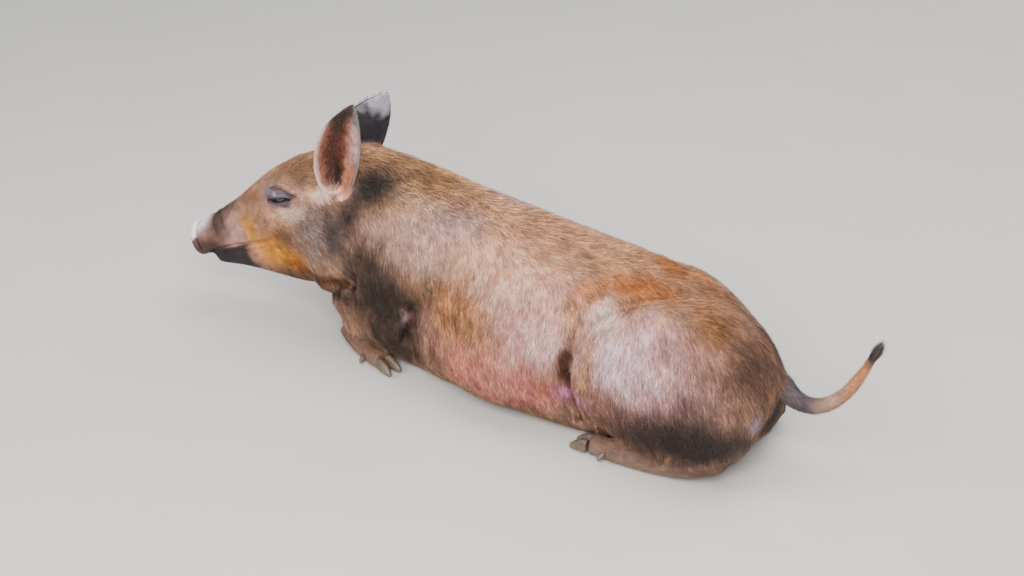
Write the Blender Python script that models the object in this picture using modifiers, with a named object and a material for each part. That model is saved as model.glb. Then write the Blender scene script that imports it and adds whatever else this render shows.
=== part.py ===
"""A Tamworth pig that lies on its belly, life size, as a still museum model.

The pig faces -X and its left side faces -Y. Its flesh is modelled whole, as lofts, ellipsoids and
tubes that are fused and smoothed, then pressed with creases and folds, cut flat at the floor and
parted with thin cuts into the pieces that a person would name. Ears, feet, hooves, eyes and tail
are made on their own and meet the flesh face to face. All sizes are in metres.
"""
import math
import random
from collections import namedtuple

import bmesh
import bpy
import numpy as np
from mathutils import Matrix, Vector
from mathutils.bvhtree import BVHTree

# Driving dimensions
HEAD_LENGTH = 0.344      # crown to the front of the nose disc
EAR_WIDTH = 0.082        # across the bowl
EAR_THICKNESS = 0.0050
EYE_RADIUS = 0.0125
NOSE_RADII = (0.036, 0.0305)   # half the nose disc's width and height
NOSE_THICKNESS = 0.014
GAP = 0.0003             # clearance between pieces that meet
FUSE_VOXEL = 0.0030      # grain at which the flesh is fused

# A cross-section: where it lies, how far it stands to the side, its top, its bottom, half its
# width, and the height at which it is widest
Section = namedtuple("Section", "along side top bottom half_width widest")

TRUNK = [
    Section(-0.470, -0.040, 0.294, 0.130, 0.066, 0.205),
    Section(-0.420, -0.022, 0.331, 0.070, 0.096, 0.190),
    Section(-0.360, -0.008, 0.333, 0.018, 0.116, 0.165),
    Section(-0.280, 0.000, 0.324, -0.010, 0.130, 0.150),
    Section(-0.200, 0.000, 0.313, -0.015, 0.140, 0.140),
    Section(-0.100, 0.000, 0.301, -0.015, 0.147, 0.135),
    Section(0.000, 0.000, 0.292, -0.015, 0.150, 0.130),
    Section(0.100, 0.003, 0.285, -0.015, 0.145, 0.130),
    Section(0.180, 0.008, 0.283, -0.012, 0.138, 0.130),
    Section(0.250, 0.012, 0.268, -0.005, 0.124, 0.130),
    Section(0.320, 0.010, 0.229, 0.006, 0.098, 0.128),
    Section(0.370, 0.010, 0.190, 0.030, 0.070, 0.122),
    Section(0.400, 0.010, 0.164, 0.062, 0.042, 0.113),
]

# The head's own axes run forwards, to its left and up from the crown
HEAD = [
    Section(-0.060, 0.000, -0.030, -0.190, 0.072, -0.110),
    Section(-0.020, 0.000, -0.006, -0.204, 0.082, -0.110),
    Section(0.030, 0.000, 0.008, -0.206, 0.084, -0.105),
    Section(0.080, 0.000, 0.012, -0.202, 0.080, -0.095),
    Section(0.120, 0.000, 0.009, -0.190, 0.073, -0.082),
    Section(0.160, 0.000, 0.003, -0.166, 0.060, -0.078),
    Section(0.200, 0.000, -0.012, -0.144, 0.048, -0.080),
    Section(0.240, 0.000, -0.030, -0.127, 0.040, -0.084),
    Section(0.280, 0.000, -0.043, -0.118, 0.036, -0.086),
    Section(0.318, 0.000, -0.053, -0.116, 0.0345, -0.088),
    Section(0.341, 0.000, -0.057, -0.116, 0.034, -0.088),
]
LOWER_JAW = [
    Section(0.040, 0.000, -0.120, -0.208, 0.060, -0.160),
    Section(0.100, 0.000, -0.120, -0.215, 0.059, -0.160),
    Section(0.145, 0.000, -0.114, -0.214, 0.056, -0.156),
    Section(0.180, 0.000, -0.110, -0.200, 0.048, -0.148),
    Section(0.220, 0.000, -0.108, -0.181, 0.038, -0.139),
    Section(0.270, 0.000, -0.107, -0.158, 0.026, -0.128),
    Section(0.300, 0.000, -0.108, -0.147, 0.021, -0.125),
    Section(0.323, 0.000, -0.109, -0.141, 0.015, -0.122),
]
CROWN = Vector((-0.400, -0.015, 0.335))
HEAD_YAW = math.radians(22)      # turned towards the pig's left
HEAD_PITCH = math.radians(20)    # nose down
EYE_PLACE = Vector((0.135, 0.0505, -0.0320))
NOSE_PLACE = Vector((HEAD_LENGTH - NOSE_THICKNESS / 2, 0, -0.0865))

# Where each ear's tip stands from the crown, and which way its cup opens: left, then right
EAR_ROOT = (0.037, 0.078, -0.046)
EAR_TIP = {1: (-0.054, 0.064, 0.098), -1: (-0.066, -0.070, 0.067)}
EAR_FACING = {1: (0.16, 0.97, 0.10), -1: (0.42, -0.88, 0.10)}

# An ear's outline from its foot to its tip: how far up, half its width as a share, and how deep
# its bowl is
EAR_LEAF = [(0.00, 0.16, 0.006), (0.06, 0.52, 0.022), (0.16, 0.80, 0.031), (0.32, 0.98, 0.029),
            (0.50, 1.00, 0.021), (0.68, 0.84, 0.013), (0.84, 0.52, 0.006), (0.94, 0.24, 0.003),
            (1.00, 0.05, 0.001)]
EAR_BEND = 0.05          # how far the tip bends inwards, as a share of the length
EAR_BOW = {1: 0.007, -1: 0.014}   # how far its middle bows forwards
EAR_ROOM = 0.040         # how far ahead of an ear's rim the flesh is kept clear
EAR_ROWS = 13
EAR_COLUMNS = 9

# Flesh on each side: a ball's centre and radii, the right ham lower, as the hips roll that way
HAM = {1: ((0.265, -0.076, 0.135), (0.156, 0.076, 0.142)),
       -1: ((0.232, 0.050, 0.100), (0.142, 0.066, 0.115))}
HAUNCH = {1: ((0.292, -0.030, 0.150), (0.128, 0.084, 0.118)),
          -1: ((0.262, 0.036, 0.118), (0.132, 0.076, 0.118))}
BELLY = ((-0.040, 0.060, 0.092), (0.166, 0.106, 0.090))
SHOULDER = ((-0.245, 0.076, 0.155), (0.100, 0.062, 0.120))

# Flesh on each side of the head, in its own axes: how far forward, aside and up, and the radii
HEAD_BALLS = {"jowl": ((0.050, 0.052, -0.140), (0.084, 0.042, 0.062)),
              "cheek": ((0.105, 0.046, -0.105), (0.070, 0.034, 0.056)),
              "brow": ((0.124, 0.044, -0.020), (0.044, 0.022, 0.022)),
              "ear_base": ((0.014, 0.050, -0.040), (0.046, 0.030, 0.040)),
              "lids": ((0.135, 0.0495, -0.0320), (0.021, 0.0165, 0.0165))}
EYE_SLIT = (0.0165, 0.010, 0.0060)   # half the opening between the lids, and how deep it is cut
EYE_SLANT = -9                       # degrees, higher in front
NOSTRIL = (0.0095, 0.0048, 0.0066)   # how deep, and half its width and height
NOSTRIL_APART = 0.0128
NOSTRIL_SLANT = 18

# Limbs and tail as beads on a string: where each stands and how thick it is, left side
FORELEG = [((-0.225, -0.098, 0.112), 0.046), ((-0.262, -0.098, 0.084), 0.038),
           ((-0.315, -0.090, 0.066), 0.030), ((-0.366, -0.080, 0.050), 0.027)]
FOREFOOT = [((-0.370, -0.082, 0.036), 0.022), ((-0.338, -0.096, 0.0205), 0.0180),
            ((-0.298, -0.110, 0.0160), 0.0168), ((-0.272, -0.116, 0.0165), 0.0175)]
HINDFOOT = [((0.360, -0.092, 0.052), 0.028), ((0.315, -0.106, 0.030), 0.024),
            ((0.245, -0.120, 0.0180), 0.0190), ((0.180, -0.126, 0.0165), 0.0175),
            ((0.152, -0.126, 0.0170), 0.0180)]
TAIL = [((0.375, 0.010, 0.165), 0.026), ((0.410, 0.008, 0.146), 0.019),
        ((0.440, 0.004, 0.132), 0.0148), ((0.472, 0.004, 0.134), 0.0128),
        ((0.505, 0.010, 0.158), 0.0112), ((0.530, 0.020, 0.199), 0.0090),
        ((0.542, 0.026, 0.228), 0.0068)]
TUFT_LENGTH = 0.045
TUFT_LOCKS = 12
LOCK_WIDTH = 0.0086
LOCK_THICKNESS = 0.0030
LOCK_SAG = 0.0030        # how far a lock's tip bends back towards the tuft's middle
LOCK_SPREAD = 0.13       # how far a lock leans out for each step along
LOCK_STEP = 0.006        # between the three rings that the locks grow from

# Creases pressed into the flesh: points near the skin, width, depth, and whether both sides
# have it
Crease = namedtuple("Crease", "path width depth both")
CREASES = [
    Crease([(0.122, -0.150, 0.030), (0.114, -0.152, 0.080), (0.113, -0.150, 0.135), (0.124, -0.138, 0.195),
            (0.150, -0.108, 0.245), (0.190, -0.070, 0.272), (0.236, -0.036, 0.284)], 0.013, 0.008, True),
    Crease([(0.120, -0.152, 0.030), (0.112, -0.154, 0.060), (0.108, -0.154, 0.095)], 0.012, 0.010, True),
    Crease([(0.125, -0.150, 0.060), (0.150, -0.140, 0.040)], 0.014, 0.006, True),
    Crease([(-0.205, -0.130, 0.030), (-0.200, -0.135, 0.060), (-0.192, -0.138, 0.100), (-0.176, -0.140, 0.150),
            (-0.150, -0.132, 0.205)], 0.014, 0.007, True),
    Crease([(-0.210, -0.130, 0.020), (-0.204, -0.135, 0.050), (-0.196, -0.138, 0.085)], 0.016, 0.016, True),
    Crease([(-0.330, -0.130, 0.120), (-0.335, -0.130, 0.170), (-0.345, -0.118, 0.230),
            (-0.352, -0.090, 0.280)], 0.020, 0.005, True),
    Crease([(-0.300, -0.136, 0.110), (-0.260, -0.150, 0.118), (-0.215, -0.150, 0.126)], 0.012, 0.004, True),
]
# The same on the head, in its own axes
HEAD_CREASES = [
    Crease([(0.318, 0.018, -0.106), (0.290, 0.034, -0.1065), (0.250, 0.036, -0.1075), (0.210, 0.045, -0.108),
            (0.182, 0.054, -0.104)], 0.0035, 0.0042, True),
    Crease([(0.318, -0.018, -0.106), (0.320, 0.000, -0.106), (0.318, 0.018, -0.106)], 0.0035, 0.0030, False),
    Crease([(0.162, 0.056, -0.056), (0.137, 0.060, -0.060), (0.109, 0.062, -0.052)], 0.006, 0.0022, True),
    Crease([(0.165, 0.048, -0.018), (0.137, 0.054, -0.010), (0.107, 0.056, -0.016)], 0.005, 0.0024, True),
    Crease([(0.130, 0.066, -0.172), (0.080, 0.090, -0.186), (0.030, 0.094, -0.178), (-0.010, 0.090, -0.170)],
           0.010, 0.005, True),
    Crease([(0.306, 0.030, -0.060), (0.302, 0.036, -0.085), (0.304, 0.030, -0.100)], 0.005, 0.0020, True),
]

# Planes that part the flesh, and the blocks that part the limbs from it on the left side
HEAD_CUT = -0.020        # behind the crown, along the head
THROAT = 0.078           # height of the cut under the jowls
TRUNK_CUTS = {"neck": (-1.0, -0.315), "chest": (-0.315, -0.120), "barrel": (-0.120, 0.118),
              "rump": (0.118, 1.0)}
LIMB_BLOCKS = {"foreleg": ((-0.430, 0.058, -0.1), (-0.190, 0.3, 0.104)),
               "shoulder": ((-0.325, 0.074, 0.104), (-0.165, 0.3, 0.5)),
               "thigh": ((0.118, 0.036, -0.1), (0.5, 0.3, 0.5))}

# Triangles of the whole flesh before it is parted: coarse for the trunk, fine for the head
BODY_TRIANGLES = 4800
HEAD_TRIANGLES = 8500

COLOURS = {"skin": (0.30, 0.15, 0.10), "ear": (0.20, 0.10, 0.09), "nose": (0.42, 0.30, 0.32),
           "eye": (0.02, 0.012, 0.01), "hoof": (0.05, 0.04, 0.04), "tuft": (0.04, 0.02, 0.015)}

GOLDEN_ANGLE = math.pi * (3 - math.sqrt(5))
LEFT, RIGHT = 1, -1


def clear_scene():
    """Removes what the startup scene holds."""
    for old in list(bpy.data.objects):
        bpy.data.objects.remove(old)


def through(keys, values, at):
    """A smooth curve through values that are given at rising keys, read at other keys."""
    keys, values, at = (np.asarray(x, float) for x in (keys, values, at))
    slopes = np.gradient(values, keys, axis=0)
    i = np.clip(np.searchsorted(keys, at) - 1, 0, len(keys) - 2)
    span = (keys[i + 1] - keys[i])[:, None]
    t = (at[:, None] - keys[i][:, None]) / span
    return ((2 * t**3 - 3 * t**2 + 1) * values[i] + (t**3 - 2 * t**2 + t) * span * slopes[i]
            + (3 * t**2 - 2 * t**3) * values[i + 1] + (t**3 - t**2) * span * slopes[i + 1])


def superellipse(section, count, upper=2.1, lower=2.6):
    """Points round a cross-section, a little squarer below than above."""
    turn = np.arange(count) * 2 * math.pi / count
    c, s = np.cos(turn), np.sin(turn)
    power = np.where(s > 0, 2 / upper, 2 / lower)
    height = np.where(s > 0, section.top - section.widest, section.widest - section.bottom)
    return np.stack([np.full(count, section.along),
                     section.side + section.half_width * np.sign(c) * np.abs(c) ** power,
                     section.widest + height * np.sign(s) * np.abs(s) ** power], 1)


def loft(name, sections, rings, count=40):
    """A closed body through cross-sections."""
    keys = [s.along for s in sections]
    at = np.linspace(keys[0], keys[-1], rings)
    body = bmesh.new()
    loops = [[body.verts.new(p) for p in superellipse(Section(*row), count)]
             for row in through(keys, sections, at)]
    for first, second in zip(loops, loops[1:]):
        for i in range(count):
            j = (i + 1) % count
            body.faces.new((first[i], first[j], second[j], second[i]))
    body.faces.new(loops[0])
    body.faces.new(loops[-1])
    bmesh.ops.recalc_face_normals(body, faces=body.faces)
    return from_bmesh(name, body)


def from_bmesh(name, body):
    """An object with the mesh that a bmesh holds."""
    mesh = bpy.data.meshes.new(name)
    body.to_mesh(mesh)
    body.free()
    made = bpy.data.objects.new(name, mesh)
    bpy.context.scene.collection.objects.link(made)
    return made


def ellipsoid(name, centre, radii, turn=(0, 0, 0), rings=24):
    """A ball stretched to three radii, turned by three angles in degrees."""
    body = bmesh.new()
    bmesh.ops.create_uvsphere(body, u_segments=2 * rings, v_segments=rings, radius=1)
    spin = Matrix.Rotation(math.radians(turn[2]), 4, "Z")
    spin @= Matrix.Rotation(math.radians(turn[1]), 4, "Y")
    spin @= Matrix.Rotation(math.radians(turn[0]), 4, "X")
    stretch = Matrix.Diagonal((*radii, 1))
    bmesh.ops.transform(body, matrix=Matrix.Translation(centre) @ spin @ stretch, verts=body.verts)
    return from_bmesh(name, body)


def tube(name, beads, steps=24, sides=4):
    """A limb or tail as a curve whose thickness follows its beads, made a closed mesh."""
    places = [p for p, r in beads]
    run = np.concatenate([[0], np.cumsum([math.dist(a, b) for a, b in zip(places, places[1:])])])
    rows = np.array([(*p, r) for p, r in beads])
    line = bpy.data.curves.new(name, "CURVE")
    line.dimensions = "3D"
    line.bevel_depth = 1
    line.bevel_resolution = sides
    line.use_fill_caps = True
    spline = line.splines.new("POLY")
    points = through(run, rows, np.linspace(0, run[-1], steps))
    spline.points.add(steps - 1)
    for bead, row in zip(spline.points, points):
        bead.co = (*row[:3], 1)
        bead.radius = row[3]
    curve = bpy.data.objects.new(name + "_line", line)
    bpy.context.scene.collection.objects.link(curve)
    made = made_mesh(name, curve)
    bpy.data.objects.remove(curve)
    weld(made.data)
    return made


def weld(mesh, within=1e-6):
    """Joins points that lie on one another, and turns every face outwards."""
    body = bmesh.new()
    body.from_mesh(mesh)
    bmesh.ops.remove_doubles(body, verts=body.verts, dist=within)
    bmesh.ops.recalc_face_normals(body, faces=body.faces)
    body.to_mesh(mesh)
    body.free()


def made_mesh(name, source):
    """A new object with the mesh that the source shows, in world space."""
    bpy.context.view_layer.update()
    graph = bpy.context.evaluated_depsgraph_get()
    mesh = bpy.data.meshes.new_from_object(source.evaluated_get(graph))
    mesh.transform(source.matrix_world)
    mesh.name = name
    made = bpy.data.objects.new(name, mesh)
    bpy.context.scene.collection.objects.link(made)
    return made


def head_frame():
    """The matrix from the head's own axes to the pig's."""
    turn = Matrix.Rotation(HEAD_YAW + math.pi, 4, "Z") @ Matrix.Rotation(HEAD_PITCH, 4, "Y")
    return Matrix.Translation(CROWN) @ turn


def joined(name, pieces):
    """The pieces as one object that holds all their meshes, and the pieces removed."""
    body = bmesh.new()
    for piece in pieces:
        part = piece.data.copy()
        part.transform(piece.matrix_world)
        body.from_mesh(part)
        bpy.data.meshes.remove(part)
        bpy.data.objects.remove(piece)
    return from_bmesh(name, body)


def fused(name, pieces, voxel):
    """The pieces melted into one closed skin."""
    heap = joined(name + "_heap", pieces)
    melt = heap.modifiers.new("melt", "REMESH")
    melt.mode = "VOXEL"
    melt.voxel_size = voxel
    melt.adaptivity = 0
    made = made_mesh(name, heap)
    bpy.data.objects.remove(heap)
    return made


def softened(source, times, share=0.5, kept=None):
    """The source with its surface relaxed, less where kept is near 1."""
    if kept is not None:
        group = source.vertex_groups.new(name="relaxed")
        for i, weight in enumerate(1 - kept):
            group.add([i], float(weight), "REPLACE")
    relax = source.modifiers.new("relax", "SMOOTH")
    relax.iterations = times
    relax.factor = share
    if kept is not None:
        relax.vertex_group = "relaxed"
    made = made_mesh(source.name + "_soft", source)
    bpy.data.objects.remove(source)
    return made


def points_of(mesh):
    """The mesh's points as an array."""
    found = np.empty(len(mesh.vertices) * 3)
    mesh.vertices.foreach_get("co", found)
    return found.reshape(-1, 3)


def normals_of(mesh):
    """The direction that the mesh faces at each point, as an array."""
    found = np.empty(len(mesh.vertices) * 3)
    mesh.vertex_normals.foreach_get("vector", found)
    return found.reshape(-1, 3)


def set_points(mesh, points):
    """Moves the mesh's points."""
    mesh.vertices.foreach_set("co", points.ravel())
    mesh.update()


def press(body, creases, place=Matrix()):
    """Presses each crease into the body as a soft furrow."""
    sides = [Matrix()]
    for crease in creases:
        for turn in sides + ([Matrix.Diagonal((1, -1, 1, 1))] if crease.both else []):
            press_one(body, [place @ turn @ Vector(p) for p in crease.path], crease)


def press_one(body, path, crease):
    """Presses one furrow along a path that is first laid on the skin."""
    mesh = body.data
    lie = BVHTree.FromPolygons([v.co for v in mesh.vertices], [p.vertices for p in mesh.polygons])
    run = np.linspace(0, len(path) - 1, 14 * len(path))
    points = through(range(len(path)), path, run)
    laid = np.array([lie.find_nearest(p)[0] for p in points])
    spots, faces = points_of(mesh), normals_of(mesh)
    near = np.flatnonzero(np.min(np.abs(spots[:, None, 0] - laid[None, ::14, 0]), 1) < 0.12)
    away = np.full(len(spots), 1.0)
    for block in np.array_split(near, max(1, len(near) // 20000)):
        away[block] = np.sqrt(((spots[block, None] - laid[None]) ** 2).sum(2).min(1))
    spots -= faces * (crease.depth * np.exp(-(away / crease.width) ** 2))[:, None]
    set_points(mesh, spots)


def head_pieces():
    """The head's main forms, in place."""
    place = head_frame()
    pieces = [loft("skull", HEAD, 36), loft("jaw", LOWER_JAW, 24)]
    for side in (LEFT, RIGHT):
        for name, ((x, y, z), radii) in HEAD_BALLS.items():
            pieces.append(ellipsoid(name, (x, side * y, z), radii))
    for piece in pieces:
        piece.data.transform(place)
    return pieces


def trunk_pieces():
    """The trunk with its hams, shoulders and upper forelegs."""
    pieces = [loft("trunk", TRUNK, 60, 56)]
    for side in (LEFT, RIGHT):
        pieces += [ellipsoid("ham", *HAM[side]), ellipsoid("haunch", *HAUNCH[side]),
                   tube("upper_arm", sided(FORELEG, side))]
        for name, ((x, y, z), radii) in (("shoulder", SHOULDER), ("belly", BELLY)):
            pieces.append(ellipsoid(name, (x, side * y, z), radii))
    return pieces


def sided(beads, side):
    """The beads of a left limb, or of the right one."""
    return [((x, side * y, z), r) for (x, y, z), r in beads]


def flesh():
    """Trunk and head as one smooth body with its creases."""
    whole = fused("flesh", trunk_pieces() + head_pieces(), FUSE_VOXEL)
    spots = points_of(whole.data)
    eyes = [np.array(head_frame() @ Vector((EYE_PLACE.x, side * EYE_PLACE.y, EYE_PLACE.z)))
            for side in (LEFT, RIGHT)]
    kept = np.max([np.exp(-(np.linalg.norm(spots - eye, axis=1) / 0.03) ** 2) for eye in eyes], 0)
    muzzle = np.array(head_frame() @ NOSE_PLACE)
    kept = np.maximum(kept * 0.85, 0.9 * np.exp(-(np.linalg.norm(spots - muzzle, axis=1) / 0.08) ** 2))
    whole = softened(whole, 70, kept=kept)
    press(whole, CREASES)
    press(whole, HEAD_CREASES, head_frame())
    return softened(whole, 2)


def thinned(name, source, triangles):
    """The source with fewer triangles."""
    made = bpy.data.objects.new(name, source.data.copy())
    bpy.context.scene.collection.objects.link(made)
    fewer = made.modifiers.new("fewer", "DECIMATE")
    fewer.ratio = triangles / (2 * len(source.data.polygons))
    fewer.use_collapse_triangulate = True
    return replaced(made)


def replaced(source):
    """The source with its modifiers applied."""
    made = made_mesh(source.name, source)
    name = source.name
    bpy.data.objects.remove(source)
    made.name = name
    return made


def block(name, low, high, frame=Matrix()):
    """A cutter with square corners, in its own frame."""
    body = bmesh.new()
    bmesh.ops.create_cube(body, size=1)
    low, high = Vector(low), Vector(high)
    size = Matrix.Diagonal((*(high - low), 1))
    bmesh.ops.transform(body, matrix=frame @ Matrix.Translation((low + high) / 2) @ size, verts=body.verts)
    return as_cutter(from_bmesh(name, body))


def below_floor():
    """A cutter that takes away all below the floor."""
    return block("below_floor", (-1, -1, -1), (1, 1, 0))


def as_cutter(made):
    """Marks an object as a cutter."""
    made.hide_render = True
    made.display_type = "WIRE"
    return made


def carved(name, source, cuts, solver="EXACT"):
    """A new piece: the source with each cutter's shape taken away, kept or joined in turn."""
    made = bpy.data.objects.new(name + "_raw", source.data.copy())
    bpy.context.scene.collection.objects.link(made)
    for operation, cutter in cuts:
        bite = made.modifiers.new("bite", "BOOLEAN")
        bite.operation = operation
        bite.solver = solver
        bite.object = cutter
    done = made_mesh(name, made)
    bpy.data.objects.remove(made)
    keep_largest(done.data)
    return done


def keep_largest(mesh):
    """Keeps only the mesh's largest closed surface."""
    body = bmesh.new()
    body.from_mesh(mesh)
    groups, seen = [], set()
    for first in body.faces:
        if first in seen:
            continue
        group, edge = [], [first]
        seen.add(first)
        while edge:
            face = edge.pop()
            group.append(face)
            for rim in face.edges:
                for other in rim.link_faces:
                    if other not in seen:
                        seen.add(other)
                        edge.append(other)
        groups.append(group)
    groups.sort(key=lambda g: sum(f.calc_area() for f in g))
    loose = [face for group in groups[:-1] for face in group]
    if loose:
        bmesh.ops.delete(body, geom=loose, context="FACES")
    body.to_mesh(mesh)
    body.free()


def swollen(name, source, by=GAP * 1.3):
    """A cutter that stands off the source all round."""
    made = bpy.data.objects.new(name, source.data.copy())
    bpy.context.scene.collection.objects.link(made)
    set_points(made.data, points_of(made.data) + normals_of(made.data) * by)
    return as_cutter(made)


def head_cut_frame():
    """The upright frame at the crown that looks the way the head is turned."""
    return Matrix.Translation((CROWN.x, CROWN.y, 0)) @ Matrix.Rotation(HEAD_YAW + math.pi, 4, "Z")


def make_head(fine):
    """The head with its eye sockets and the seat of the nose disc."""
    place, half = head_frame(), GAP / 2
    cuts = [("INTERSECT", block("head_block", (HEAD_CUT + half, -0.5, THROAT + half), (1, 0.5, 1),
                                head_cut_frame())),
            ("DIFFERENCE", swollen_disc(place))]
    x, y, z = EYE_PLACE
    for side in (LEFT, RIGHT):
        socket = ellipsoid("socket", (x, side * y, z), (EYE_RADIUS + GAP,) * 3, rings=14)
        slit = ellipsoid("slit", (x, side * (y + EYE_RADIUS), z), EYE_SLIT, (0, EYE_SLANT, 0), rings=12)
        cuts += [("DIFFERENCE", as_cutter(moved(tool, place))) for tool in (socket, slit)]
    return carved("head", fine, cuts)


def disc_shape(name, grow=0.0, rings=10):
    """The nose disc's body: a thick coin with a rounded rim, in the head's axes."""
    body = bmesh.new()
    bmesh.ops.create_uvsphere(body, u_segments=26, v_segments=rings, radius=1)
    for v in body.verts:
        x, y, z = v.co.z, v.co.x, v.co.y
        rim = math.hypot(y, z)
        v.co = (math.copysign(abs(x) ** 0.55, x) * (NOSE_THICKNESS / 2 + grow),
                y / max(rim, 1e-9) * rim ** 0.62 * (NOSE_RADII[0] + grow) if rim > 1e-6 else 0,
                z / max(rim, 1e-9) * rim ** 0.62 * (NOSE_RADII[1] + grow) if rim > 1e-6 else 0)
    bmesh.ops.translate(body, vec=NOSE_PLACE, verts=body.verts)
    bmesh.ops.recalc_face_normals(body, faces=body.faces)
    return from_bmesh(name, body)


def swollen_disc(place):
    """A cutter that stands off the nose disc."""
    made = disc_shape("disc_seat", GAP * 1.2)
    made.data.transform(place)
    return as_cutter(made)


def make_nose(place):
    """The nose disc with its two nostrils."""
    disc = disc_shape("disc")
    cuts = []
    for side in (LEFT, RIGHT):
        hole = ellipsoid("nostril", (HEAD_LENGTH, side * NOSTRIL_APART, NOSE_PLACE.z), NOSTRIL,
                         (side * NOSTRIL_SLANT, 0, 0), rings=8)
        cuts.append(("DIFFERENCE", as_cutter(hole)))
    made = carved("nose_disc", disc, cuts)
    made.data.transform(place)
    bpy.data.objects.remove(disc)
    return made


def make_eye(name, side, place):
    """An eyeball."""
    return moved(ellipsoid(name, (EYE_PLACE.x, side * EYE_PLACE.y, EYE_PLACE.z), (EYE_RADIUS,) * 3, rings=8),
                 place)


def moved(made, place):
    """The piece with its points taken to a place."""
    made.data.transform(place)
    return made


def ear_points(side, ahead=None):
    """An ear's points, row by row from its foot to its tip: a leaf-shaped bowl, or a flat leaf ahead."""
    root = Vector((EAR_ROOT[0], side * EAR_ROOT[1], EAR_ROOT[2]))
    axis = Vector(EAR_TIP[side]) - root
    length = axis.length
    axis.normalize()
    face = Vector(EAR_FACING[side])
    face = (face - axis * face.dot(axis)).normalized()
    across = axis.cross(face) * side
    reach = (1 - np.cos(np.linspace(0, math.pi, EAR_ROWS))) / 2
    shares = through([row[0] for row in EAR_LEAF], [row[1:] for row in EAR_LEAF], reach)
    rows = []
    for s, (width, depth) in zip(reach, shares):
        middle = (root + axis * (s * length) - face * (EAR_BEND * s * s * length)
                  - across * (EAR_BOW[side] * math.sin(math.pi * s)))
        rows.append([middle + across * (EAR_WIDTH / 2 * width * t)
                     + face * (-depth * (1 - abs(t) ** 2.2) if ahead is None else ahead)
                     for t in np.linspace(-1, 1, EAR_COLUMNS)])
    return rows


def ear_sheet(side):
    """An ear as an open sheet."""
    body = bmesh.new()
    grid = [[body.verts.new(p) for p in row] for row in ear_points(side)]
    for first, second in zip(grid, grid[1:]):
        for a, b, c, d in zip(first, first[1:], second[1:], second):
            body.faces.new((a, b, c))
            body.faces.new((a, c, d))
    return from_bmesh("ear_sheet", body)


def ear_room(side):
    """A cutter that fills an ear's bowl and the space ahead of it."""
    body = bmesh.new()
    back, front = ([[body.verts.new(p) for p in row] for row in ear_points(side, ahead)]
                   for ahead in (None, EAR_ROOM))
    for grid in (back, front):
        for first, second in zip(grid, grid[1:]):
            for a, b, c, d in zip(first, first[1:], second[1:], second):
                body.faces.new((a, b, c, d))
    rim = [lambda grid: grid[0], lambda grid: grid[-1], lambda grid: [row[0] for row in grid],
           lambda grid: [row[-1] for row in grid]]
    for edge in rim:
        near, far = edge(back), edge(front)
        for a, b, c, d in zip(near, near[1:], far[1:], far):
            body.faces.new((a, b, c, d))
    bmesh.ops.recalc_face_normals(body, faces=body.faces)
    return as_cutter(from_bmesh("ear_room", body))


def make_ear(name, side, place):
    """An ear: its sheet given its thickness."""
    sheet = ear_sheet(side)
    thick = sheet.modifiers.new("thick", "SOLIDIFY")
    thick.thickness = EAR_THICKNESS
    thick.offset = 0
    made = replaced(sheet)
    made.name = name
    weld(made.data)
    return moved(made, place)


def claw_frame(beads, side, lead):
    """The frame at a foot's end that looks the way the foot points."""
    end, before = Vector(beads[-1][0]), Vector(beads[-2][0])
    end.y *= side
    before.y *= side
    along = (end - before).normalized()
    across = Vector((0, 0, 1)).cross(along).normalized()
    turn = Matrix((along, across, along.cross(across))).transposed().to_4x4()
    return Matrix.Translation(end + along * lead) @ turn


CLAW = [Section(0.000, 0, 0.0105, -0.0125, 0.0074, -0.002), Section(0.012, 0, 0.0095, -0.0135, 0.0078, -0.003),
        Section(0.024, 0, 0.0030, -0.0140, 0.0064, -0.006), Section(0.034, 0, -0.0060, -0.0145, 0.0030, -0.011)]
DEWCLAW = [Section(0.000, 0, 0.0060, -0.0060, 0.0050, 0), Section(0.008, 0, 0.0052, -0.0052, 0.0046, 0),
           Section(0.015, 0, 0.0026, -0.0030, 0.0024, 0)]
CLAW_SUNK = 0.002        # how far a claw starts inside the foot's end
CLAW_APART = 0.0084      # from the foot's middle line
CLAW_SPLAY = 0.08        # angle outwards
DEWCLAW_BACK = 0.034     # behind the foot's end
DEWCLAW_APART = 0.0135
DEWCLAW_SPLAY = 1.25
DEWCLAW_DROOP = 0.35


def make_claws(foot, beads, side, around):
    """Two main claws at the foot's end and two dewclaws behind them."""
    made = []
    cuts = [("DIFFERENCE", cutter) for cutter in (*around, below_floor())]
    for row, kind in ((LEFT, "inner"), (RIGHT, "outer")):
        claw = loft("claw", CLAW, 5, 10)
        spread = (Matrix.Translation((0, row * side * CLAW_APART, 0))
                  @ Matrix.Rotation(row * side * CLAW_SPLAY, 4, "Z"))
        claw.data.transform(claw_frame(beads, side, -CLAW_SUNK) @ spread)
        made.append(carved(f"{foot}_hoof_{kind}", claw, cuts))
        spur = loft("spur", DEWCLAW, 4, 8)
        turn = Matrix.Rotation(row * side * DEWCLAW_SPLAY, 4, "Z") @ Matrix.Rotation(DEWCLAW_DROOP, 4, "Y")
        aside = Matrix.Translation((0, row * side * DEWCLAW_APART, 0))
        spur.data.transform(claw_frame(beads, side, -DEWCLAW_BACK) @ aside @ turn)
        made.append(carved(f"{foot}_dewclaw_{kind}", spur, cuts))
        bpy.data.objects.remove(claw)
        bpy.data.objects.remove(spur)
    return made


def make_foot(name, beads, side, around):
    """A foot below the carpus or hock, flat where it lies on the floor."""
    whole = tube("foot", sided(beads, side), steps=10, sides=2)
    made = carved(name, whole, [("DIFFERENCE", around), ("DIFFERENCE", below_floor())])
    bpy.data.objects.remove(whole)
    return made


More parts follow.
